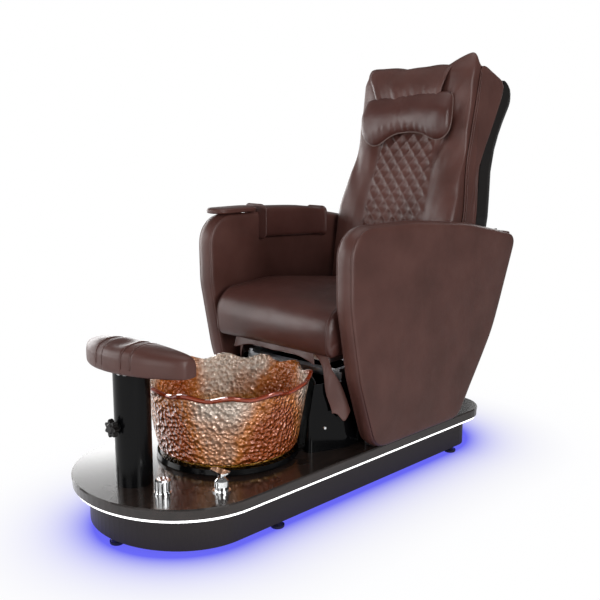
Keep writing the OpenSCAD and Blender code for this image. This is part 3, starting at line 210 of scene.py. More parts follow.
def deckFinish():
    look = deckLook
    mat = newMaterial("bronzeBoard", look["light"], look["rough"], Coat_Weight=1.0,
                      Coat_Roughness=look["coatRough"], Specular_IOR_Level=look["sheen"])
    streaks = pattern(mat, "ShaderNodeTexNoise", look["streaks"], stretch=(6, 1, 6), Detail=6)
    vary(mat, "Base Color", streaks, [(0.3, look["dark"]), (0.7, look["light"])])
    haze = pattern(mat, "ShaderNodeTexNoise", look["haze"], Detail=3)
    vary(mat, "Roughness", haze, [(0.3, grey(0.20)), (0.7, grey(0.30))])
    roughen(mat, [(streaks.outputs["Fac"], 0.0004, 0.1)])
    return mat

# the bead is the rim's dark edge, which fades out towards away; heights are from the ground
basinGlass = {
    "deep": (0.50, 0.105, 0.018), "amber": (0.80, 0.27, 0.055), "paleAndReflected": (0.93, 0.77, 0.64),
    "dark": (0.40, 0.055, 0.012), "gold": (0.80, 0.38, 0.05), "rough": 0.10, "metal": 0.15, "clear": 0.30,
    "coatRough": 0.07, "clouds": 7, "dents": 80, "dentDepth": 0.016, "ripples": 55, "rippleDepth": 0.007,
    "middle": (0.0, tipY + 0.500, 0.0), "low": 0.185, "high": 0.395, "floor": 0.300, "base": 0.216,
    "baseTop": 0.203, "flare": 0.19, "bead": 0.3962, "wave": 0.0054, "waves": 12, "turn": 20,
    "reflectionSides": (4, -44), "away": (-0.69, 0.72), "clearRim": (0.075, 0.025),
}

def glassFinish():
    g = basinGlass
    mat = newMaterial("amberGlass", g["amber"], g["rough"], g["metal"], IOR=1.5,
                      Transmission_Weight=g["clear"], Coat_Weight=1.0, Coat_Roughness=g["coatRough"])
    tree = mat.node_tree
    calc = partial(mathStep, tree)

    def step(value, low, high):
        node = addNode(tree, "ShaderNodeMapRange")
        tree.links.new(value, node.inputs["Value"])
        node.inputs["From Min"].default_value, node.inputs["From Max"].default_value = low, high
        return node.outputs["Result"]

    def blended(share, a, b):
        node = addNode(tree, "ShaderNodeMix", data_type="RGBA")
        tree.links.new(share, node.inputs["Factor"])
        tree.links.new(a, node.inputs[6])
        node.inputs[7].default_value = (*b, 1)
        return node.outputs[2]

    place = addNode(tree, "ShaderNodeTexCoord")
    offset = addNode(tree, "ShaderNodeVectorMath", operation="SUBTRACT")
    tree.links.new(place.outputs["Object"], offset.inputs[0])
    offset.inputs[1].default_value = g["middle"]
    split = addNode(tree, "ShaderNodeSeparateXYZ")
    tree.links.new(offset.outputs[0], split.inputs[0])
    x, y, z = split.outputs
    reach = calc("SQRT", calc("ADD", calc("POWER", x, 2.0), calc("POWER", y, 2.0)))
    angle = calc("ARCTAN2", y, x)

    def around(count, turn):
        turned = calc("SUBTRACT", calc("MULTIPLY", angle, float(count)), math.radians(count * turn))
        return calc("COSINE", turned)

    clouds = pattern(mat, "ShaderNodeTexNoise", g["clouds"], stretch=(1, 1, 0.7), Detail=3)
    # painted reflection: the glass is painted paler towards the top and in four zones around its side, one
    # facing the camera, where it would mirror the white room; the clouds are the glass's own mottle
    height = calc("MULTIPLY", step(z, g["low"], g["high"]), 0.34)
    reflectionZones = calc("MULTIPLY", around(*g["reflectionSides"]), 0.17)
    mottleAndReflection = calc("ADD", calc("MULTIPLY", clouds.outputs["Fac"], 0.8), calc("ADD", height, reflectionZones))
    wall = ramp(mat, mottleAndReflection, [(0.42, g["deep"]), (0.60, g["amber"]), (0.84, g["paleAndReflected"])])
    outer = calc("ADD", calc("MULTIPLY", calc("SUBTRACT", z, g["baseTop"]), g["flare"]), g["base"])
    within = step(calc("SUBTRACT", outer, reach), 0.003, 0.006)
    inside = calc("MULTIPLY", within, step(z, g["floor"], g["floor"] - 0.05))
    wavy = calc("SUBTRACT", z, calc("MULTIPLY", around(g["waves"], g["turn"]), g["wave"]))
    away = calc("ADD", calc("MULTIPLY", x, g["away"][0]), calc("MULTIPLY", y, g["away"][1]))
    bead = calc("MULTIPLY", step(wavy, g["bead"] - 0.001, g["bead"] + 0.001), step(away, *g["clearRim"]))
    intoShader(mat, "Base Color", blended(bead, blended(inside, wall, g["gold"]), g["dark"]))
    dents = pattern(mat, "ShaderNodeTexVoronoi", g["dents"], feature="SMOOTH_F1", Smoothness=0.35)
    ripples = pattern(mat, "ShaderNodeTexNoise", g["ripples"], Detail=2)
    offBead = calc("SUBTRACT", 1.0, bead)
    roughen(mat, [(calc("MULTIPLY", dents.outputs["Distance"], offBead), g["dentDepth"], 1.0),
                  (calc("MULTIPLY", ripples.outputs["Fac"], offBead), g["rippleDepth"], 0.6)])
    intoShader(mat, "Coat Normal", tree.nodes["Principled BSDF"].inputs["Normal"].links[0].from_socket)
    return mat

finish = {
    "leather": leatherFinish("brownLeather", "body", 0.40),
    # painted shade: this finish is the darker copy of the body leather
    "shadedLeather": leatherFinish("shadedLeather", "seat", 0.34),
    "piping": leatherFinish("pipingLeather", "piping", 0.36),
    "glossBlack": plainFinish("glossBlack", (0.0020, 0.0020, 0.0024), 0.13, Specular_IOR_Level=0.16),
    "satinBlack": plainFinish("satinBlack", (0.0028, 0.0028, 0.0032), 0.22, Specular_IOR_Level=0.15),
    "shellBlack": plainFinish("mouldedShell", (0.008, 0.0065, 0.006), 0.42, grainScale=900,
                              Specular_IOR_Level=0.30),
    "skirtBoard": plainFinish("skirtBoard", (0.020, 0.016, 0.015), 0.36, Specular_IOR_Level=0.30),
    "bronzeBoard": deckFinish(),
    "edgeLight": glowFinish("edgeLight", (1.0, 1.0, 1.0), 1.6),
    "floorLight": glowFinish("floorLight", (0.10, 0.10, 1.0), 3.0),
    "steel": brushedFinish("brushedSteel", (0.5, 0.5, 0.52), 0.35),
    "chrome": plainFinish("polishedChrome", (0.86, 0.87, 0.88), 0.05, 1.0, grainDepth=0.00003),
    "rubber": plainFinish("footRubber", (0.012, 0.012, 0.012), 0.35),
    "glass": glassFinish(),
    "greyPlastic": plainFinish("greyPipe", (0.45, 0.45, 0.43), 0.5),
    "hose": brushedFinish("braidedHose", (0.5, 0.51, 0.53), 0.4),
    "darkPlastic": plainFinish("darkPlastic", (0.02, 0.02, 0.022), 0.45),
    "roller": plainFinish("rollerRubber", (0.06, 0.025, 0.018), 0.5),
}
wear = {
    "bronzeBoard": "deck",
    "skirtBoard": "skirt",
    "edgeLight": "edge_light_strip",
    "floorLight": "underglow_tape",
    "glossBlack": "seat_pedestal basin_ring",
    "satinBlack": "footrest_post arm_catches post_flange clamp_boss",
    "shellBlack": "back_shell clamp_knob",
    "rubber": "levelling_feet",
    "glass": "glass_basin",
    "steel": "base_frame seat_stand slide_rails panel_brackets footrest_plate seat_runners seat_frame "
             "hinge_brackets back_frame massage_rails",
    "chrome": "drain_strainer water_inlets pedestal_screws slide_actuator_rod tray_post footrest_tube "
              "mixer_base mixer_cap mixer_lever diverter_base diverter_knob hinge_pins recline_actuator_rod",
    "greyPlastic": "drain_pipe",
    "hose": "supply_hoses",
    "roller": "massage_rollers",
    "darkPlastic": "discharge_pump power_inlet control_box slide_actuator_tube recline_actuator_tube "
                   "massage_carriage massage_motor",
    "leather": "side_panel_left side_panel_right arm_pad catch_tabs arm_tray footrest_cushion seat_cushion "
               "seat_apron back_side_walls back_cushion quilted_cover head_pillow pillow_strap",
}
for name, members in wear.items():
    for member in members.split():
        nodes[member].data.materials.clear()
        nodes[member].data.materials.append(finish[name])
print("frame finished in", len(finish), "materials")

# floor, with the blue glow from under the skirt painted into its colour as painted light, fading out from the
# skirt's outline; how bright gloss shows it is mirrored at the chair's middle, grows by slope for each metre
# towards the front and is never under least
floorLook = {
    "size": 14, "seen": 0.55, "unseen": 0.35, "nearGlow": 0.82, "clearing": 0.45,
    "mirrored": 0.62, "slope": -0.34, "least": 0.28, "paintedGlowColour": (0.16, 0.16, 1.0),
    "halfWidth": 0.262, "front": tipY + 0.312, "rear": tipY + 1.37, "reach": 0.092,
}

def floorFinish():
    look = floorLook
    mat = bpy.data.materials.new("paleFloor")
    mat.use_nodes = True
    tree = mat.node_tree
    calc = partial(mathStep, tree)
    tree.nodes.clear()
    place = addNode(tree, "ShaderNodeTexCoord")
    split = addNode(tree, "ShaderNodeSeparateXYZ")
    tree.links.new(place.outputs["Object"], split.inputs[0])
    nearest = calc("MINIMUM", calc("MAXIMUM", split.outputs["Y"], look["front"]), look["rear"])
    along = calc("SUBTRACT", split.outputs["Y"], nearest)
    far = calc("SQRT", calc("ADD", calc("POWER", split.outputs["X"], 2.0), calc("POWER", along, 2.0)))
    outside = calc("MAXIMUM", calc("SUBTRACT", far, look["halfWidth"]), 0.0)
    paintedGlowFade = calc("EXPONENT", calc("DIVIDE", outside, -look["reach"]))
    # painted light: the floor's colour turns blue near the skirt, standing in for the tape's glow
    paintedGlowTint = addNode(tree, "ShaderNodeMix", data_type="RGBA")
    tree.links.new(paintedGlowFade, paintedGlowTint.inputs["Factor"])
    paintedGlowTint.inputs[6].default_value = (1, 1, 1, 1)
    paintedGlowTint.inputs[7].default_value = (*look["paintedGlowColour"], 1)
    path = addNode(tree, "ShaderNodeLightPath")
    lit = addNode(tree, "ShaderNodeBsdfDiffuse")
    bright = addNode(tree, "ShaderNodeEmission", Strength=1.0)
    dimmed = addNode(tree, "ShaderNodeMix", data_type="RGBA", blend_type="MULTIPLY")
    dimmed.inputs["Factor"].default_value = 1.0
    tree.links.new(paintedGlowTint.outputs[2], dimmed.inputs[6])
    bounce = calc("ADD", calc("MULTIPLY", path.outputs["Is Camera Ray"], look["seen"]), look["unseen"])
    tree.links.new(bounce, dimmed.inputs[7])
    tree.links.new(dimmed.outputs[2], lit.inputs["Color"])
    tree.links.new(paintedGlowTint.outputs[2], bright.inputs["Color"])
    clear = calc("MINIMUM", calc("ADD", calc("MULTIPLY", outside, look["clearing"]), look["nearGlow"]), 1.0)
    sloped = calc("ADD", calc("MULTIPLY", split.outputs["Y"], look["slope"]), look["mirrored"])
    level = calc("MAXIMUM", calc("MINIMUM", sloped, 1.0), look["least"])
    mirrored = calc("MULTIPLY", path.outputs["Is Glossy Ray"], level)
    direct = calc("MAXIMUM", path.outputs["Is Camera Ray"], path.outputs["Is Transmission Ray"])
    seen = calc("MULTIPLY", calc("MAXIMUM", direct, mirrored), clear)
    blend = addNode(tree, "ShaderNodeMixShader")
    tree.links.new(seen, blend.inputs[0])
    tree.links.new(lit.outputs[0], blend.inputs[1])
    tree.links.new(bright.outputs[0], blend.inputs[2])
    out = addNode(tree, "ShaderNodeOutputMaterial")
    tree.links.new(blend.outputs[0], out.inputs["Surface"])
    return mat

def addFloor():
    bm = bmesh.new()
    bmesh.ops.create_grid(bm, x_segments=1, y_segments=1, size=floorLook["size"])
    mesh = bpy.data.meshes.new("floor")
    bm.to_mesh(mesh)
    bm.free()
    floor = bpy.data.objects.new("floor", mesh)
    bpy.context.collection.objects.link(floor)
    mesh.materials.append(floorFinish())

# the studio is dark except towards away, where it brightens between the cosines from and to
studio = {"away": (-0.935, 0.335, 0.12), "near": 0.08, "far": 1.0, "from": 0.89, "to": 0.97, "mirrored": 0.14}

def addWorld():
    world = bpy.data.worlds.new("studio")
    scene.world = world
    world.use_nodes = True
    tree = world.node_tree
    calc = partial(mathStep, tree)
    shade = tree.nodes["Background"]
    path = addNode(tree, "ShaderNodeLightPath")
    place = addNode(tree, "ShaderNodeTexCoord")
    facing = addNode(tree, "ShaderNodeVectorMath", operation="DOT_PRODUCT")
    tree.links.new(place.outputs["Generated"], facing.inputs[0])
    facing.inputs[1].default_value = studio["away"]
    spread = addNode(tree, "ShaderNodeMapRange", interpolation_type="SMOOTHSTEP")
    tree.links.new(facing.outputs["Value"], spread.inputs["Value"])
    for socket, key in (("From Min", "from"), ("From Max", "to"), ("To Min", "near"), ("To Max", "far")):
        spread.inputs[socket].default_value = studio[key]
    direct = calc("MAXIMUM", path.outputs["Is Camera Ray"], path.outputs["Is Transmission Ray"])
    mirrored = calc("MULTIPLY", path.outputs["Is Glossy Ray"], studio["mirrored"])
    around = calc("MAXIMUM", spread.outputs["Result"], mirrored)
    tree.links.new(calc("MAXIMUM", direct, around), shade.inputs["Strength"])
    shade.inputs["Color"].default_value = (1, 1, 1, 1)

addFloor()
addWorld()
print("floor and lights done")

# curves and profiles

def mixed(a, b, t):
    return a + (b - a) * t

def eased(t):
    t = min(1, max(0, t))
    return t * t * (3 - 2 * t)

def hump(t, middle, width):
    return math.exp(-((t - middle) / width) ** 2)

def power(v, e):
    return math.copysign(abs(v) ** e, v)

# a smooth curve through a table of (z, value)
def curveAt(table, z):
    k = 0
    while k < len(table) - 2 and table[k + 1][0] < z:
        k += 1
    (z0, a), (z1, b) = table[k], table[k + 1]
    (zb, before), (za, after) = table[max(k - 1, 0)], table[min(k + 2, len(table) - 1)]
    t = min(1, max(0, (z - z0) / (z1 - z0)))
    rise, fall = (b - before) / (z1 - zb) * (z1 - z0), (after - a) / (za - z0) * (z1 - z0)
    level = a * (1 + 2 * t) * (1 - t) ** 2 + b * t * t * (3 - 2 * t)
    return level + rise * t * (1 - t) ** 2 - fall * t * t * (1 - t)

# a smooth path through points, for t from 0 to 1
def pathAt(points, t):
    t = min(1, max(0, t)) * (len(points) - 1)
    k = min(int(t), len(points) - 2)
    a, b, c, d = (Vector(points[min(max(k + j, 0), len(points) - 1)]) for j in (-1, 0, 1, 2))
    t -= k
    bend, twist = 2 * a - 5 * b + 4 * c - d, 3 * b - a - 3 * c + d
    return 0.5 * (2 * b + (c - a) * t + bend * t * t + twist * t ** 3)

def onGrid(columns, rows, spot):
    bm = bmesh.new()
    bmesh.ops.create_grid(bm, x_segments=columns, y_segments=rows, size=1)
    for v in bm.verts:
        v.co = spot((v.co.x + 1) / 2, (v.co.y + 1) / 2)
    bmesh.ops.recalc_face_normals(bm, faces=bm.faces[:])
    return bm

def roundedOutline(points, radii, steps):
    out = []
    for i, r in enumerate(radii):
        p, a, b = (Vector(points[(i + k) % len(points)]) for k in (0, -1, 1))
        u, w = (a - p).normalized(), (b - p).normalized()
        half = math.acos(max(-1, min(1, u.dot(w)))) / 2
        middle = p + (u + w).normalized() * r / math.sin(half)
        start, end = p + u * r / math.tan(half) - middle, p + w * r / math.tan(half) - middle
        first = math.atan2(start.y, start.x)
        sweep = (math.atan2(end.y, end.x) - first + 3 * math.pi) % (2 * math.pi) - math.pi
        turns = [first + sweep * k / steps for k in range(steps + 1)]
        out += [middle + r * Vector((math.cos(turn), math.sin(turn))) for turn in turns]
    return out

def evenly(points, count):
    loop = points + [points[0]]
    runs = [0.0]
    for a, b in zip(loop, loop[1:]):
        runs.append(runs[-1] + (b - a).length)
    out, k = [], 0
    for i in range(count):
        at = runs[-1] * i / count
        while k < len(runs) - 2 and runs[k + 1] < at:
            k += 1
        out.append(loop[k].lerp(loop[k + 1], (at - runs[k]) / max(1e-9, runs[k + 1] - runs[k])))
    return out

def smoothOutline(points, shape):
    return evenly(roundedOutline(points, shape["radii"], shape["steps"]), shape["points"])

# moves an outline in by d, or, where d is a minus share, shrinks it to that share of its size
def inset(points, d):
    if d < -0.1:
        middle = sum(points, Vector((0, 0))) / len(points)
        return [middle.lerp(p, -d) for p in points]
    count = len(points)
    out = []
    for i, p in enumerate(points):
        t = (points[(i + 1) % count] - points[i - 1]).normalized()
        out.append(p + d * Vector((-t.y, t.x)))
    return out

# skins and cords

def nextRow(bm, row, spots):
    edges = [bm.edges.get(pair) for pair in zip(row, row[1:] + row[:1])]
    grown = bmesh.ops.extrude_edge_only(bm, edges=edges)["geom"]
    fresh = {g for g in grown if isinstance(g, bmesh.types.BMVert)}
    row = [next(e.other_vert(v) for e in v.link_edges if e.other_vert(v) in fresh) for v in row]
    for v, p in zip(row, spots):
        v.co = p
    return row

def loft(rings, looped=False):
    bm = bmesh.new()
    row = list(bmesh.ops.create_circle(bm, cap_ends=False, radius=1, segments=len(rings[0]))["verts"])
    first = row
    for v, p in zip(row, rings[0]):
        v.co = p
    for ring in rings[1:]:
        row = nextRow(bm, row, ring)
    ends = [[bm.edges.get((r[i - 1], r[i])) for i in range(len(r))] for r in (first, row)]
    if looped:
        bmesh.ops.bridge_loops(bm, edges=ends[0] + ends[1])
    else:
        for end in ends:
            cap = bmesh.ops.contextual_create(bm, geom=end)["faces"]
            bmesh.ops.poke(bm, faces=cap)
    bmesh.ops.recalc_face_normals(bm, faces=bm.faces[:])
    return bm

def keep(bm, name, material, body, stands=(), smoother=0, thick=None):
    mesh = bpy.data.meshes.new(name)
    bm.to_mesh(mesh)
    bm.free()
    obj = bpy.data.objects.new(name, mesh)
    bpy.context.collection.objects.link(obj)
    mesh.materials.append(finish[material])
    mesh.shade_smooth()
    if thick:
        solid = obj.modifiers.new("thickness", "SOLIDIFY")
        solid.thickness, solid.offset = thick, -1
    if smoother:
        smooth = obj.modifiers.new("smoother", "SUBSURF")
        smooth.levels = smooth.render_levels = smoother
    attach(obj, body)
    if stands:
        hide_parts(*stands)
    return obj

# swells a closed skin between its seams, which stay where they are sewn
puffShape = {"pressure": 4, "frames": 20, "held": 0.007}

def puffed(obj, seam, voxel, furthest):
    obj.modifiers.clear()
    remesh = obj.modifiers.new("even", "REMESH")
    remesh.mode, remesh.voxel_size = "VOXEL", voxel
    obj.data = bpy.data.meshes.new_from_object(obj.evaluated_get(bpy.context.evaluated_depsgraph_get()))
    obj.modifiers.clear()
    obj.data.name = obj.name
    obj.data.shade_smooth()
    tree = kdtree.KDTree(len(seam))
    for i, p in enumerate(seam):
        tree.insert(p, i)
    tree.balance()
    start = [v.co.copy() for v in obj.data.vertices]
    sewn = obj.vertex_groups.new(name="sewn")
    sewn.add([i for i, p in enumerate(start) if tree.find(p)[2] < puffShape["held"]], 1.0, "REPLACE")
    cloth = obj.modifiers.new("swell", "CLOTH")
    cloth.settings.use_pressure = True
    cloth.settings.uniform_pressure_force = puffShape["pressure"]
    cloth.settings.effector_weights.gravity = 0
    cloth.settings.vertex_group_mass = "sewn"
    cloth.point_cache.frame_start, cloth.point_cache.frame_end = 1, puffShape["frames"]
    for frameNumber in range(1, puffShape["frames"] + 1):
        scene.frame_set(frameNumber)
    swollen = obj.evaluated_get(bpy.context.evaluated_depsgraph_get()).data
    moves = [v.co - p for v, p in zip(swollen.vertices, start)]
    obj.modifiers.clear()
    for v, p, move in zip(obj.data.vertices, start, moves):
        v.co = p + move * min(1, furthest / max(move.length, 1e-9))
    scene.frame_set(1)
    smooth = obj.modifiers.new("smoother", "SUBSURF")
    smooth.levels = smooth.render_levels = 1
    most = max(move.length for move in moves)
    print("swollen", obj.name, len(start), "points, furthest", round(most, 4))

def cordRings(path, radius, closed):
    turns = [2 * math.pi * i / 8 for i in range(8)]
    rings, count = [], len(path)
    side = Vector((0, 0, 1))
    for k, p in enumerate(path):
        ahead = path[(k + 1) % count] if closed else path[min(k + 1, count - 1)]
        behind = path[k - 1] if closed or k else path[0]
        t = (ahead - behind).normalized()
        side = side - t * t.dot(side)
        side.normalize()
        other = t.cross(side)
        rings.append([p + radius * (math.cos(a) * side + math.sin(a) * other) for a in turns])
    return rings

def addCord(path, radius, name, body, closed=False, material="leather"):
    return keep(loft(cordRings(path, radius, closed), looped=closed), name, material, body)

# side panels; a section is a list of (distance out from the inner face, inset)
panelShape = {
    "front": 0.682, "rear": 1.604, "arm": 0.870, "low": 0.170, "inner": 0.279, "points": 140,
    "steps": 14, "uneven": 0.0012,
    "radii": [0.095, 0.26, 0.26, 0.062, 0.062, 0.42, 0.034, 0.9, 0.9],
    "section": [(0.0020, -0.45), (0.0006, -0.88), (0.0, 0.019), (0.0008, 0.0085), (0.0038, 0.0030),
                (0.0068, 0.0016), (0.0085, 0.0044), (0.0102, 0.0014), (0.0160, -0.0005), (0.0260, -0.0034),
                (0.0340, -0.0044), (0.0420, -0.0034), (0.0520, -0.0005), (0.0578, 0.0014), (0.0596, 0.0050),
                (0.0614, 0.0018), (0.0646, 0.0042), (0.0670, 0.0100), (0.0682, 0.0190), (0.0690, -0.88),
                (0.0704, -0.45)],
}

def panelOutline():
    f, r, arm, low = (panelShape[k] for k in ("front", "rear", "arm", "low"))
    points = [(f, arm), (f + 0.001, 0.640), (f + 0.048, 0.400), (f + 0.130, low), (r - 0.340, low),
              (r - 0.136, 0.455), (r, arm - 0.088), (f + 0.618, arm - 0.028), (f + 0.308, arm)]
    return smoothOutline(points, panelShape)

def panelSpot(p, x, side):
    soft = panelShape["uneven"] * noise.noise((p.x * 9, p.y * 9, side + x * 20))
    return Vector((side * (panelShape["inner"] + x + soft), tipY + p.x, p.y))

def addPanel(side, name):
    outline = panelOutline()
    rings = [[panelSpot(p, x, side) for p in inset(outline, i)] for x, i in panelShape["section"]]
    keep(loft(rings), name, "leather", "base", stands=[name[:-5]], smoother=1)

addPanel(1, "side_panel_right_skin")
addPanel(-1, "side_panel_left_skin")
print("side panels done")

# seat cushion; edge is its section at either side, and seam is where the piping runs on it
seatShape = {
    "front": 0.672, "rear": 1.248, "under": 0.467, "thick": 0.182, "half": 0.262, "points": 96,
    "steps": 14, "radii": [0.088, 0.026, 0.024, 0.040, 0.5], "uneven": 0.0018, "nose": 0.016, "crown": 0.008,
    "lower": 0.004, "rise": 0.009, "seam": (0.0166, 0.0012), "cord": 0.0016, "voxel": 0.0075, "swell": 0.006,
    "edge": [(0.0040, -0.45), (0.0012, -0.76), (0.0004, 0.017), (0.0020, 0.010), (0.006, 0.0042),
             (0.0125, 0.0014), (0.0150, 0.0012), (0.0166, 0.0038), (0.0184, 0.0012), (0.024, 0.0002),
             (0.05, 0.0), (0.10, 0.0), (0.16, 0.0), (0.21, 0.0)],
}

def seatOutline():
    f, r, under = seatShape["front"], seatShape["rear"], seatShape["under"]
    top = under + seatShape["thick"]
    points = [(f + 0.004, top - 0.024), (f + 0.012, under), (r, under), (r, top - 0.046),
              (f + 0.25, top - 0.004)]
    return smoothOutline(points, seatShape)

def seatSpot(p, x):
    s = seatShape
    full = 1 - abs(x / s["half"]) ** 2.5
    up, fore = (p.y - s["under"]) / s["thick"], (s["rear"] - p.x) / (s["rear"] - s["front"])
    across = 2 * up - 1
    soft = s["uneven"] * noise.noise((x * 6, p.x * 6, p.y * 5)) * up
    nose = s["nose"] * full * max(0, fore) ** 6 * (1 - across * across)
    crown = (s["crown"] * full - s["lower"]) * up
    rise = s["rise"] * full * up * min(1, 1.6 * max(0, 1 - fore))
    return Vector((x, tipY + p.x - nose, p.y + crown + rise + soft))

def addSeat():
    s, outline, half = seatShape, seatOutline(), seatShape["half"]
    stations = [(-half + d, i) for d, i in s["edge"]] + [(0.0, 0.0)]
    stations += [(half - d, i) for d, i in reversed(s["edge"])]
    rings = [[seatSpot(p, x) for p in inset(outline, i)] for x, i in stations]
    seat = keep(loft(rings), "seat_leather", "shadedLeather", "seat", stands=["seat_cushion"], smoother=1)
    inFrom, deep = s["seam"]
    seams = [[seatSpot(p, side * (half - inFrom)) for p in inset(outline, deep)] for side in (1, -1)]
    puffed(seat, seams[0] + seams[1], s["voxel"], s["swell"])
    for seam, name in zip(seams, ("right", "left")):
        addCord(seam, s["cord"], "seat_piping_" + name, "seat", closed=True, material="shadedLeather")

addSeat()

# the apron is a short band under the seat's front, and a flap at each end hangs down the pedestal's cheek
apronShape = {
    "line": [(0.176, 0.702, 0.476), (0.12, 0.708, 0.476), (0.0, 0.712, 0.476)],
    "hem": [(0.184, 0.696, 0.434), (0.12, 0.704, 0.450), (0.0, 0.708, 0.451)],
    "fore": [(0.176, 0.702, 0.474), (0.214, 0.706, 0.424), (0.230, 0.704, 0.345), (0.241, 0.714, 0.288)],
    "aft": [(0.232, 0.706, 0.474), (0.243, 0.720, 0.428), (0.252, 0.744, 0.374), (0.264, 0.780, 0.299)],
    "tip": 0.034, "thick": 0.0026, "back": (0.055, 0.03), "curl": 0.010, "ripple": 0.004,
    "sway": (0.0012, 0.0015), "bandGrid": (90, 8), "flapGrid": (22, 36),
}

def flapSpot(w, t, side):
    a = apronShape
    p = pathAt(a["fore"], t).lerp(pathAt(a["aft"], t), w)
    curl = a["curl"] * math.sin(math.pi * w) * t + a["ripple"] * math.sin(5.2 * w + 3 * t) * t
    drop = a["tip"] * t ** 6 * hump(w, 0.66, 0.30)
    if side < 0:
        p.y += a["back"][0] + a["back"][1] * t
    out = tipY + p.y - 0.7 * curl + a["ripple"] * math.sin(9 * t + 2 * w)
    return Vector((side * (p.x + curl), out, p.z - drop))

def bandSpot(u, t):
    side = 1 if u > 0.5 else -1
    w = 1 - abs(2 * u - 1)
    p = pathAt(apronShape["line"], w).lerp(pathAt(apronShape["hem"], w), t)
    out, down = apronShape["sway"]
    return Vector((side * p.x, tipY + p.y + out * math.sin(23 * u) * t, p.z - down * math.sin(17 * u) * t))

def addApron():
    across = onGrid(*apronShape["bandGrid"], lambda u, t: bandSpot(u, 1 - t))
    band = keep(across, "apron_band", "shadedLeather", "seat",
                stands=["seat_apron"], thick=apronShape["thick"], smoother=1)
    for side, name in ((1, "apron_flap_right"), (-1, "apron_flap_left")):
        hanging = onGrid(*apronShape["flapGrid"], lambda w, t: flapSpot(w, 1 - t, side))
        flap = keep(hanging, name, "leather", "seat",
                    stands=["seat_apron"], thick=apronShape["thick"], smoother=1)

addApron()
print("seat done")

# arm pad, which sits over the panel's top edge; stations are (distance back from its start, inset)
armPadShape = {
    "start": 0.908, "long": 0.32, "inner": 0.249, "outer": 0.341, "low": 0.782, "top": 0.889,
    "panel": 0.2775, "lid": 0.8715, "sag": 0.013, "slope": 0.024, "droop": 0.010, "points": 90,
    "steps": 8,
    "radii": [0.012, 0.016, 0.010, 0.005, 0.003, 0.008],
    "stations": [(0.0, 0.0115), (0.0008, 0.008), (0.004, 0.0028), (0.010, 0.0004), (0.03, 0), (0.09, 0),
                 (0.16, 0), (0.24, 0), (0.29, 0.0003), (0.308, 0.002), (0.317, 0.006), (0.3205, 0.0112)],
}

def armPadSpot(p, s):
    a = armPadShape
    slope, sag = a["slope"] * eased((s - 0.04) / a["long"]), a["sag"] * s / a["long"]
    sagging = p.x < a["panel"] - 0.001 or p.y > a["top"] - 0.006
    overPanel = p.x > a["panel"] + 0.002
    droop = a["droop"] * eased((s - 0.22) / 0.1) * eased((p.y - 0.84) / 0.05)
    sunk = slope * overPanel * min(1, max(0, (a["top"] - p.y) / (a["top"] - a["lid"])))
    return Vector((-p.x, tipY + a["start"] + s, p.y - sag * sagging - droop - sunk))

def addArmPad():
    inner, outer, panel = (armPadShape[k] for k in ("inner", "outer", "panel"))
    low, top, lid = (armPadShape[k] for k in ("low", "top", "lid"))
    points = [(inner, low), (inner, top), (outer, top), (outer, lid), (panel, lid), (panel, low)]
    section = smoothOutline(points, armPadShape)
    rings = [[armPadSpot(p, s) for p in inset(section, i)] for s, i in armPadShape["stations"]]
    pad = keep(loft(rings), "arm_pad_leather", "shadedLeather", "base", stands=["arm_pad"], smoother=1)

addArmPad()

# tray; its section is a list of (height over low, inset)
trayShape = {
    "x": -0.299, "pivot": 0.852, "low": 0.8735, "half": 0.046, "reach": 0.154, "points": 72,
    "section": [(0.0003, 0.030), (0.0, 0.012), (0.0008, 0.005), (0.0035, 0.0010), (0.0078, 0.0),
                (0.0092, 0.0018), (0.0106, 0.0), (0.0145, 0.0008), (0.0180, 0.0045), (0.0192, 0.012),
                (0.0196, 0.030)],
}

def trayOutline():
    half, gap = trayShape["half"], trayShape["reach"] - trayShape["half"]
    turns = [math.radians(a) for a in range(0, 181, 10)]
    rear = [Vector((half * math.cos(a), half * math.sin(a))) for a in turns]
    return rear + [Vector((-half * math.cos(a), -gap - half * math.sin(a))) for a in turns]

def addTray():
    t = trayShape
    outline = evenly(trayOutline(), t["points"])
    rings = [[Vector((t["x"] + p.x, tipY + t["pivot"] + p.y, t["low"] + z)) for p in inset(outline, i)]
             for z, i in t["section"]]
    keep(loft(rings), "tray_leather", "leather", "tray", stands=["arm_tray"], smoother=1)

addTray()

tabShape = {"start": 1.531, "long": 0.042, "low": 0.7797, "tall": 0.021, "inner": 0.2965, "wide": 0.038,
            "points": 40, "steps": 6, "radii": [0.003, 0.006, 0.008, 0.005],
            "edge": [(0.0, 0.004), (0.0012, 0.0014), (0.004, 0.0)]}

def addTabs():
    t = tabShape
    points = [(0, 0), (t["long"], 0), (t["long"], t["tall"] - 0.006), (0, t["tall"])]
    section = smoothOutline(points, t)
    stations = t["edge"] + [(t["wide"] - x, i) for x, i in reversed(t["edge"])]
    for side, name in ((1, "catch_tab_right"), (-1, "catch_tab_left")):
        rings = [[Vector((side * (t["inner"] + x), tipY + t["start"] + p.x, t["low"] + p.y))
                  for p in inset(section, i)] for x, i in stations]
        keep(loft(rings), name, "leather", "base", stands=["catch_tabs"], smoother=1)

addTabs()
print("arms done")

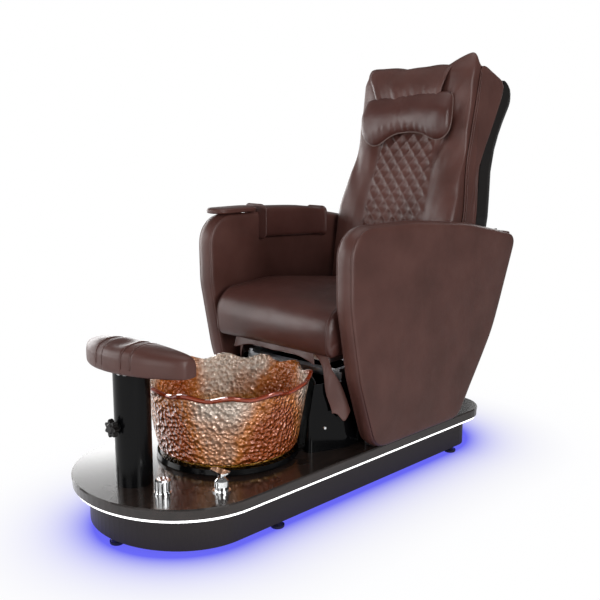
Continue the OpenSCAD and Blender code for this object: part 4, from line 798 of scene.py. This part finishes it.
# footrest; a section point is (share of the half depth, share of the height), and bands are its sewn bands
footShape = {
    "half": 0.200, "deep": 0.130, "rear": 0.055, "tall": 0.085, "sweep": 0.075, "curve": 2.2, "dip": 0.013,
    "post": 0.144, "under": 0.4970, "turn": 6, "shift": 0.008, "bands": (0.190, 0.345), "sewn": 0.035,
    "pressed": 0.022, "cord": 0.0016, "cordIn": -0.020, "crest": (8, 27),
    "outerStops": [-1, -0.985, -0.95, -0.9, -0.82, -0.72, -0.6, -0.5, -0.42],
    "innerStops": [-0.17, -0.11, -0.04],
    "below": [(-0.80, 0.0), (-0.40, -0.004), (0.0, -0.004), (0.40, -0.004)],
    "edge": [(0.80, 0.0), (0.93, 0.02), (0.985, 0.10), (1.0, 0.24), (1.0, 0.42), (0.990, 0.575),
             (0.972, 0.600), (0.968, 0.635), (0.925, 0.735), (0.83, 0.835), (0.66, 0.92), (0.42, 0.975),
             (0.15, 1.0)],
}
footSection = footShape["below"] + footShape["edge"]
footSection += [(-s, up) for s, up in reversed(footShape["edge"][1:])]

def footSpot(u, side, up, swell=0.0):
    f = footShape
    fore, aft = f["sweep"] * abs(u) ** f["curve"] - (f["deep"] - f["rear"]), f["rear"]
    end = math.sqrt(max(0.0004, 1 - (max(0, abs(u) - 0.86) / 0.145) ** 2))
    half = (aft - fore) / 2 * (0.60 + 0.40 * end) * (1 + swell)
    saddle = f["dip"] * hump(u, -0.01, 0.15) * hump(side, -0.20, 0.55) * max(0, up) ** 2
    tall = (f["tall"] * (1 - 0.30 * abs(u) ** f["curve"]) - saddle) * (0.80 + 0.20 * end)
    x, y = u * f["half"] + f["shift"] * u * u, (fore + aft) / 2 + half * side
    turn = math.radians(f["turn"])
    out = tipY + f["post"] + x * math.sin(turn) + y * math.cos(turn)
    return Vector((x * math.cos(turn) - y * math.sin(turn), out, f["under"] + tall * up * (1 + swell)))

def footDent(u):
    near, far = footShape["bands"]
    sewn = -footShape["sewn"] * sum(hump(abs(u), band, 0.008) for band in (near, far))
    return sewn - footShape["pressed"] * eased((far - abs(u)) / 0.02) * eased((abs(u) - near) / 0.02)

def addFootrest():
    near, far = footShape["bands"]
    stops = list(footShape["outerStops"])
    for band in (far, near):
        stops += [-band - 0.018, -band - 0.006, -band, -band + 0.006, -band + 0.018]
    stops += footShape["innerStops"]
    stops += [-u for u in reversed(stops)]
    rings = [[footSpot(u, s, up, footDent(u) * (0.2 + 0.8 * min(1, max(0, up) * 3))) for s, up in footSection]
             for u in stops]
    pad = keep(loft(rings), "footrest_leather", "leather", "footrest_head", stands=["footrest_cushion"],
               smoother=1)
    crest = footSection[slice(*footShape["crest"])]
    for u, name in ((-far, "left_outer"), (-near, "left_inner"), (near, "right_inner"), (far, "right_outer")):
        path = [footSpot(u, s, up, footShape["cordIn"]) for s, up in crest]
        addCord(path, footShape["cord"], "footrest_piping_" + name, "footrest_head")

addFootrest()
print("footrest done")

# back; y runs back from the hinge and z up the leaning back, and the curves are (z, y) of its face
backShape = {
    "hinge": 1.348, "height": 0.500, "lean": 13, "lowHalf": 0.268, "topHalf": 0.246, "seam": -0.0605,
    "narrows": (0.330, 0.240), "edgeIn": 0.026,
    "edge": [(0.04, -0.088), (0.13, -0.104), (0.22, -0.116), (0.32, -0.124), (0.44, -0.106), (0.55, -0.084),
             (0.61, -0.077), (0.66, -0.084), (0.73, -0.091), (0.825, -0.102), (0.88, -0.100)],
    "middle": [(0.04, -0.084), (0.30, -0.099), (0.42, -0.094), (0.60, -0.084), (0.70, -0.085), (0.80, -0.100),
               (0.88, -0.092)],
}
lean = math.radians(backShape["lean"])

def backSpot(x, y, z):
    return Vector((x, tipY + backShape["hinge"] + y * math.cos(lean) + z * math.sin(lean),
                   backShape["height"] + z * math.cos(lean) - y * math.sin(lean)))

def backHalf(z):
    start, run = backShape["narrows"]
    return mixed(backShape["lowHalf"], backShape["topHalf"], eased((z - start) / run))

def padFace(x, z):
    share = min(1, abs(x) / (backHalf(z) - backShape["edgeIn"])) ** 2
    return mixed(curveAt(backShape["middle"], z), curveAt(backShape["edge"], z), share)

wallShape = {
    "inner": 0.022, "uneven": 0.0010, "points": 120, "steps": 10,
    "outline": [(-0.058, 0.880), (-0.0585, 0.300), (-0.048, 0.085), (0.030, 0.062), (0.0305, 0.600),
                (0.103, 0.800), (0.107, 0.856), (0.086, 0.873), (-0.032, 0.893)],
    "radii": [0.016, 0.2, 0.014, 0.010, 0.35, 0.20, 0.012, 0.02, 0.02],
    "section": [(0.0, 0.009), (0.001, 0.005), (0.004, 0.001), (0.012, 0.0), (0.017, 0.001), (0.0202, 0.0035),
                (0.0216, 0.009), (0.0222, -0.80), (0.0226, -0.45)],
}

def wallSpot(p, x, side):
    soft = wallShape["uneven"] * noise.noise((p.x * 14, p.y * 7, side))
    return backSpot(side * (backHalf(p.y) - wallShape["inner"] + x + soft), p.x, p.y)

def addSideWall(side, name):
    outline = smoothOutline(wallShape["outline"], wallShape)
    rings = [[wallSpot(p, x, side) for p in inset(outline, i)] for x, i in wallShape["section"]]
    keep(loft(rings), name, "leather", "back", stands=["back_side_walls"], smoother=1)

addSideWall(1, "side_wall_leather_right")
addSideWall(-1, "side_wall_leather_left")

# back pad, lofted up the back; rear is the curve of its rear face
padShape = {
    "low": 0.044, "top": 0.878, "lowRound": 0.040, "topRound": 0.046, "frontIn": 0.010, "rearIn": 0.026,
    "round": 0.022, "points": 30, "lowest": [0.046, 0.052, 0.066, 0.090],
    "highest": [0.800, 0.836, 0.846, 0.858, 0.868, 0.874],
    "rear": [(0.04, -0.040), (0.760, -0.040), (0.800, 0.024), (0.836, 0.024), (0.847, 0.092), (0.88, 0.092)],
}

def padRing(z):
    s, seam = padShape, backShape["seam"]
    end = min(1, (z - s["low"]) / s["lowRound"], (s["top"] - z) / s["topRound"])
    around = math.sqrt(1 - (1 - end) ** 2)
    wide, slim = ((backHalf(z) - d) * (0.9 + 0.1 * around) for d in (s["frontIn"], s["rearIn"]))
    rear = curveAt(s["rear"], z)
    ring = []
    for i in range(s["points"]):
        a = math.pi * (1 + i / (s["points"] - 1))
        x = wide * power(math.cos(a), 0.5)
        face = padFace(x, z) + s["round"] * (1 - around)
        ring.append(backSpot(x, mixed(seam, face, abs(math.sin(a)) ** 0.5), z))
    for i in range(s["points"]):
        a = math.pi * i / (s["points"] - 1)
        ring.append(backSpot(slim * power(math.cos(a), 0.4), mixed(seam, rear, abs(math.sin(a)) ** 0.4), z))
    return ring

def addBackPad():
    levels = padShape["lowest"] + [0.14 + 0.045 * k for k in range(15)] + padShape["highest"]
    rings = [padRing(z) for z in levels]
    pad = keep(loft(rings), "back_pad_leather", "leather", "back", stands=["back_cushion"])

addBackPad()

# quilted cover; over and flat give where v turns over the top and where it lies flat, each with its run
coverShape = {
    "low": 0.070, "top": 0.845, "round": 0.034, "rear": 0.090, "clear": 0.0035, "flare": 0.012, "corner": 6.5,
    "face": 0.93, "bend": 0.84, "lift": 0.006, "over": (0.86, 0.08), "flat": (0.94, 0.06),
    "quiltLow": 0.286, "quiltTop": 0.672, "diamond": (0.050, 0.055), "puff": 0.0075, "rim": 0.005,
    "quiltHalf": [(0.28, 0.130), (0.40, 0.132), (0.50, 0.126), (0.60, 0.116), (0.68, 0.110)],
    "bolster": 0.007, "fold": 0.0085, "uneven": 0.003, "farEar": 0.16, "farFold": 0.5,
    "ear": [(0.0, 0.0), (0.095, 0.0), (0.129, 0.012), (0.155, 0.026), (0.179, 0.037), (0.200, 0.045),
            (0.217, 0.047), (0.230, 0.038), (0.2425, 0.008)],
    "thick": 0.003, "cord": 0.0021, "grid": (170, 200),
}

def quiltPuff(x, z):
    wide, tall = coverShape["diamond"]
    a, b = x / wide + z / tall, x / wide - z / tall
    a, b = a - math.floor(a), b - math.floor(b)
    dish = (16 * a * (1 - a) * b * (1 - b)) ** 0.62
    return coverShape["puff"] * (1 - dish * (0.70 + 0.45 * (a - b + 1) / 2))

# share of the width and share of the depth at u, round a corner like a superellipse's
def coverPlan(u):
    a, n, face, bend = abs(u), coverShape["corner"], coverShape["face"], coverShape["bend"]
    if a < bend:
        share = face * a / bend
        return math.copysign(share, u), (1 - share ** n) ** (1 / n)
    deep = (1 - face ** n) ** (1 / n) * (1 - (a - bend) / 0.16)
    return math.copysign((1 - max(0, deep) ** n) ** (1 / n), u), max(0, deep)

def earLift(x, y):
    share = 1 if x > 0 else coverShape["farEar"]
    return curveAt(coverShape["ear"], abs(x)) * share * hump(y, -0.078, 0.021)

def coverFace(x, z, deep):
    c = coverShape
    face = padFace(x, z) - c["lift"]
    half = curveAt(c["quiltHalf"], z)
    inside = abs(x) / half
    if inside < 1 and c["quiltLow"] < z < c["quiltTop"]:
        ends = min(c["quiltTop"] - z, z - c["quiltLow"])
        rim = min(1, (1 - inside) * 0.12 / c["rim"], ends / c["rim"])
        return face - quiltPuff(x, z) * rim
    away = max(0, abs(x) - half)
    face -= c["bolster"] * eased(away / 0.045) * (1 - eased((away - 0.06) / 0.06))
    fold = math.sin(58 * (away - 0.62 * (z - 0.30)) + 1.2) + 0.5 * math.sin(94 * (away - 0.50 * z))
    side = 1 if x > 0 else c["farFold"]
    face -= c["fold"] * fold * eased(away / 0.03) * deep * hump(z, 0.60, 0.15) * side
    return face - c["uneven"] * noise.noise((x * 14, z * 9, 2.0)) * eased(away / 0.03)

def coverSpot(u, v):
    c = coverShape
    share, deep = coverPlan(2 * u - 1)
    (over, overRun), (flat, flatRun) = c["over"], c["flat"]
    z = mixed(c["low"], c["top"], v / over) if v < over else c["top"]
    x = share * (backHalf(z) - c["clear"])
    x += c["flare"] * eased((-share - 0.7) / 0.3) * eased((z - 0.81) / 0.05)
    y = mixed(backShape["seam"], coverFace(x, z, deep), deep)
    if v >= over:
        bend = min(1, (v - over) / overRun)
        z += c["round"] * math.sin(bend * math.pi / 2)
        y += (c["round"] * (1 - math.cos(bend * math.pi / 2))) * min(1, deep * 1.2)
        if v > flat:
            y = mixed(y, c["rear"], (v - flat) / flatRun)
            z -= 0.016 * eased((y - 0.02) / 0.07) * eased((abs(x) - 0.12) / 0.10)
        z += earLift(x, y)
    return backSpot(x, y, z)

def addCover():
    cover = keep(onGrid(*coverShape["grid"], coverSpot), "quilted_leather", "leather", "back",
                 stands=["quilted_cover"], thick=coverShape["thick"])
    levels = [0.12 + 0.019 * i for i in range(40)]
    for k, (back, out) in enumerate(((0.0, 0.0004), (0.013, 0.0006))):
        for side, name in ((1, "right"), (-1, "left")):
            path = []
            for z in levels:
                y = backShape["seam"] + 0.0005 + back * (1 - 0.5 * eased((z - 0.75) / 0.12))
                path.append(backSpot(side * (backHalf(z) + out), y, z))
            addCord(path, coverShape["cord"], "back_piping_%s_%d" % (name, k + 1), "back")

addCover()

# head pillow, a kidney with two lobes below; its edge is piped
pillowShape = {
    "half": 0.196, "z": 0.690, "y": -0.122, "up": 0.080, "arch": 0.056, "lobe": 0.040, "lobeX": 0.140,
    "lobeWidth": 0.062, "tilt": 4, "front": 0.036, "rear": 0.020, "fold": 0.0042, "seam": 0.0045,
    "uneven": 0.0022, "voxel": 0.005, "swell": 0.005, "cord": 0.0022, "columns": 120, "rows": 22,
}

def pillowSpot(u, v, part=1.0):
    p = pillowShape
    x = p["half"] * math.sin(u * 1.5) / math.sin(1.5)
    end = max(0.0, 1 - abs(u) ** 7) ** 0.5
    lobe = hump(abs(x - 0.006), p["lobeX"], p["lobeWidth"]) * (1.08 if x < 0 else 0.92)
    z = v * (p["up"] if v > 0 else p["arch"] + p["lobe"] * lobe) * end
    rim = max(0.0, 1 - v * v)
    puff = rim ** 0.52 * max(0.0, 1 - abs(u) ** 5) ** 0.5
    puff = puff * (0.80 + 0.20 * hump(abs(u), 0.6, 0.35)) * (1 - 0.30 * eased(v))
    low = max(0.0, -v)
    fold = (math.sin(64 * u + 0.8) + 0.6 * math.sin(101 * u)) * hump(u, 0.02, 0.42)
    fold = fold * eased((low - 0.25) / 0.6) * rim ** 0.4
    seam = p["seam"] * hump(u, -0.04, 0.012) * rim ** 0.5
    y = -(p["front"] * puff + p["fold"] * fold - seam) if part > 0 else p["rear"] * puff
    tilt = math.radians(p["tilt"])
    wave = p["uneven"] * noise.noise((x * 16, z * 16, 5.0)) * rim
    return backSpot(x * math.cos(tilt) - z * math.sin(tilt), p["y"] + y + wave,
                    p["z"] + z * math.cos(tilt) + x * math.sin(tilt))

def addPillow():
    p, columns, rows = pillowShape, pillowShape["columns"], pillowShape["rows"]
    us = [math.sin(math.pi * k / columns - math.pi / 2) for k in range(1, columns)]
    rings = []
    for u in us:
        ring = [pillowSpot(u, -math.cos(math.pi * i / rows)) for i in range(rows + 1)]
        ring += [pillowSpot(u, -math.cos(math.pi * i / rows), -1) for i in range(rows - 1, 0, -1)]
        rings.append(ring)
    pillow = keep(loft(rings), "head_pillow_leather", "shadedLeather", "back", stands=["head_pillow"],
                  smoother=1)
    seam = [pillowSpot(u, v) for u in us for v in (-1, 1)]
    puffed(pillow, seam, p["voxel"], p["swell"])
    edge = [pillowSpot(u, -1) for u in us] + [pillowSpot(u, 1) for u in reversed(us) if u > 0.80]
    addCord(edge, p["cord"], "pillow_piping", "back", material="piping")

addPillow()

# the pillow's flap comes down from the top of the back and is sewn to the pillow's top edge
strapShape = {
    "path": [(0.205, 0.772), (0.207, 0.800), (0.206, 0.830), (0.188, 0.862), (0.150, 0.881), (0.104, 0.886),
             (0.040, 0.886), (-0.030, 0.886), (-0.072, 0.884), (-0.098, 0.873), (-0.112, 0.850),
             (-0.122, 0.816), (-0.126, 0.784), (-0.124, 0.752)],
    "left": [(0.0, -0.160), (0.45, -0.176), (0.66, -0.196), (0.78, -0.203), (0.88, -0.172), (1.0, -0.138)],
    "right": [(0.0, 0.160), (0.45, 0.158), (0.66, 0.152), (0.78, 0.148), (0.88, 0.142), (1.0, 0.132)],
    "sag": 0.004, "thick": 0.0028, "grid": (70, 110),
}

def strapSpot(u, v):
    p = pathAt(strapShape["path"], v)
    x = mixed(curveAt(strapShape["left"], v), curveAt(strapShape["right"], v), u)
    side = abs(2 * u - 1)
    wrinkle = 0.0030 * math.sin(2.2 + 9 * u + 3 * v) + 0.0022 * math.sin(22 * u + 8 * v)
    wrinkle = (wrinkle + 0.0040 * hump(side, 0.93, 0.05)) * eased((v - 0.55) / 0.4)
    gather = (0.0014 * math.sin(41 * u + 1) + 0.0010 * math.sin(67 * u)) * hump(v, 0.97, 0.06)
    tilt = math.tan(math.radians(pillowShape["tilt"])) * eased((v - 0.80) / 0.2)
    lift = strapShape["sag"] * (math.sin(7 * u) * 0.5 - 0.3) * hump(v, 0.5, 0.2)
    lift += (0.006 * hump(u, 0.80, 0.12) - 0.008 * hump(u, 0.40, 0.10)) * hump(v, 0.62, 0.09)
    return backSpot(x, p.x - wrinkle - gather, p.y + x * tilt + lift)

def addFlap():
    flap = keep(onGrid(*strapShape["grid"], strapSpot), "pillow_flap_leather", "leather", "back",
                stands=["pillow_strap"], thick=strapShape["thick"])

addFlap()
print("back done")
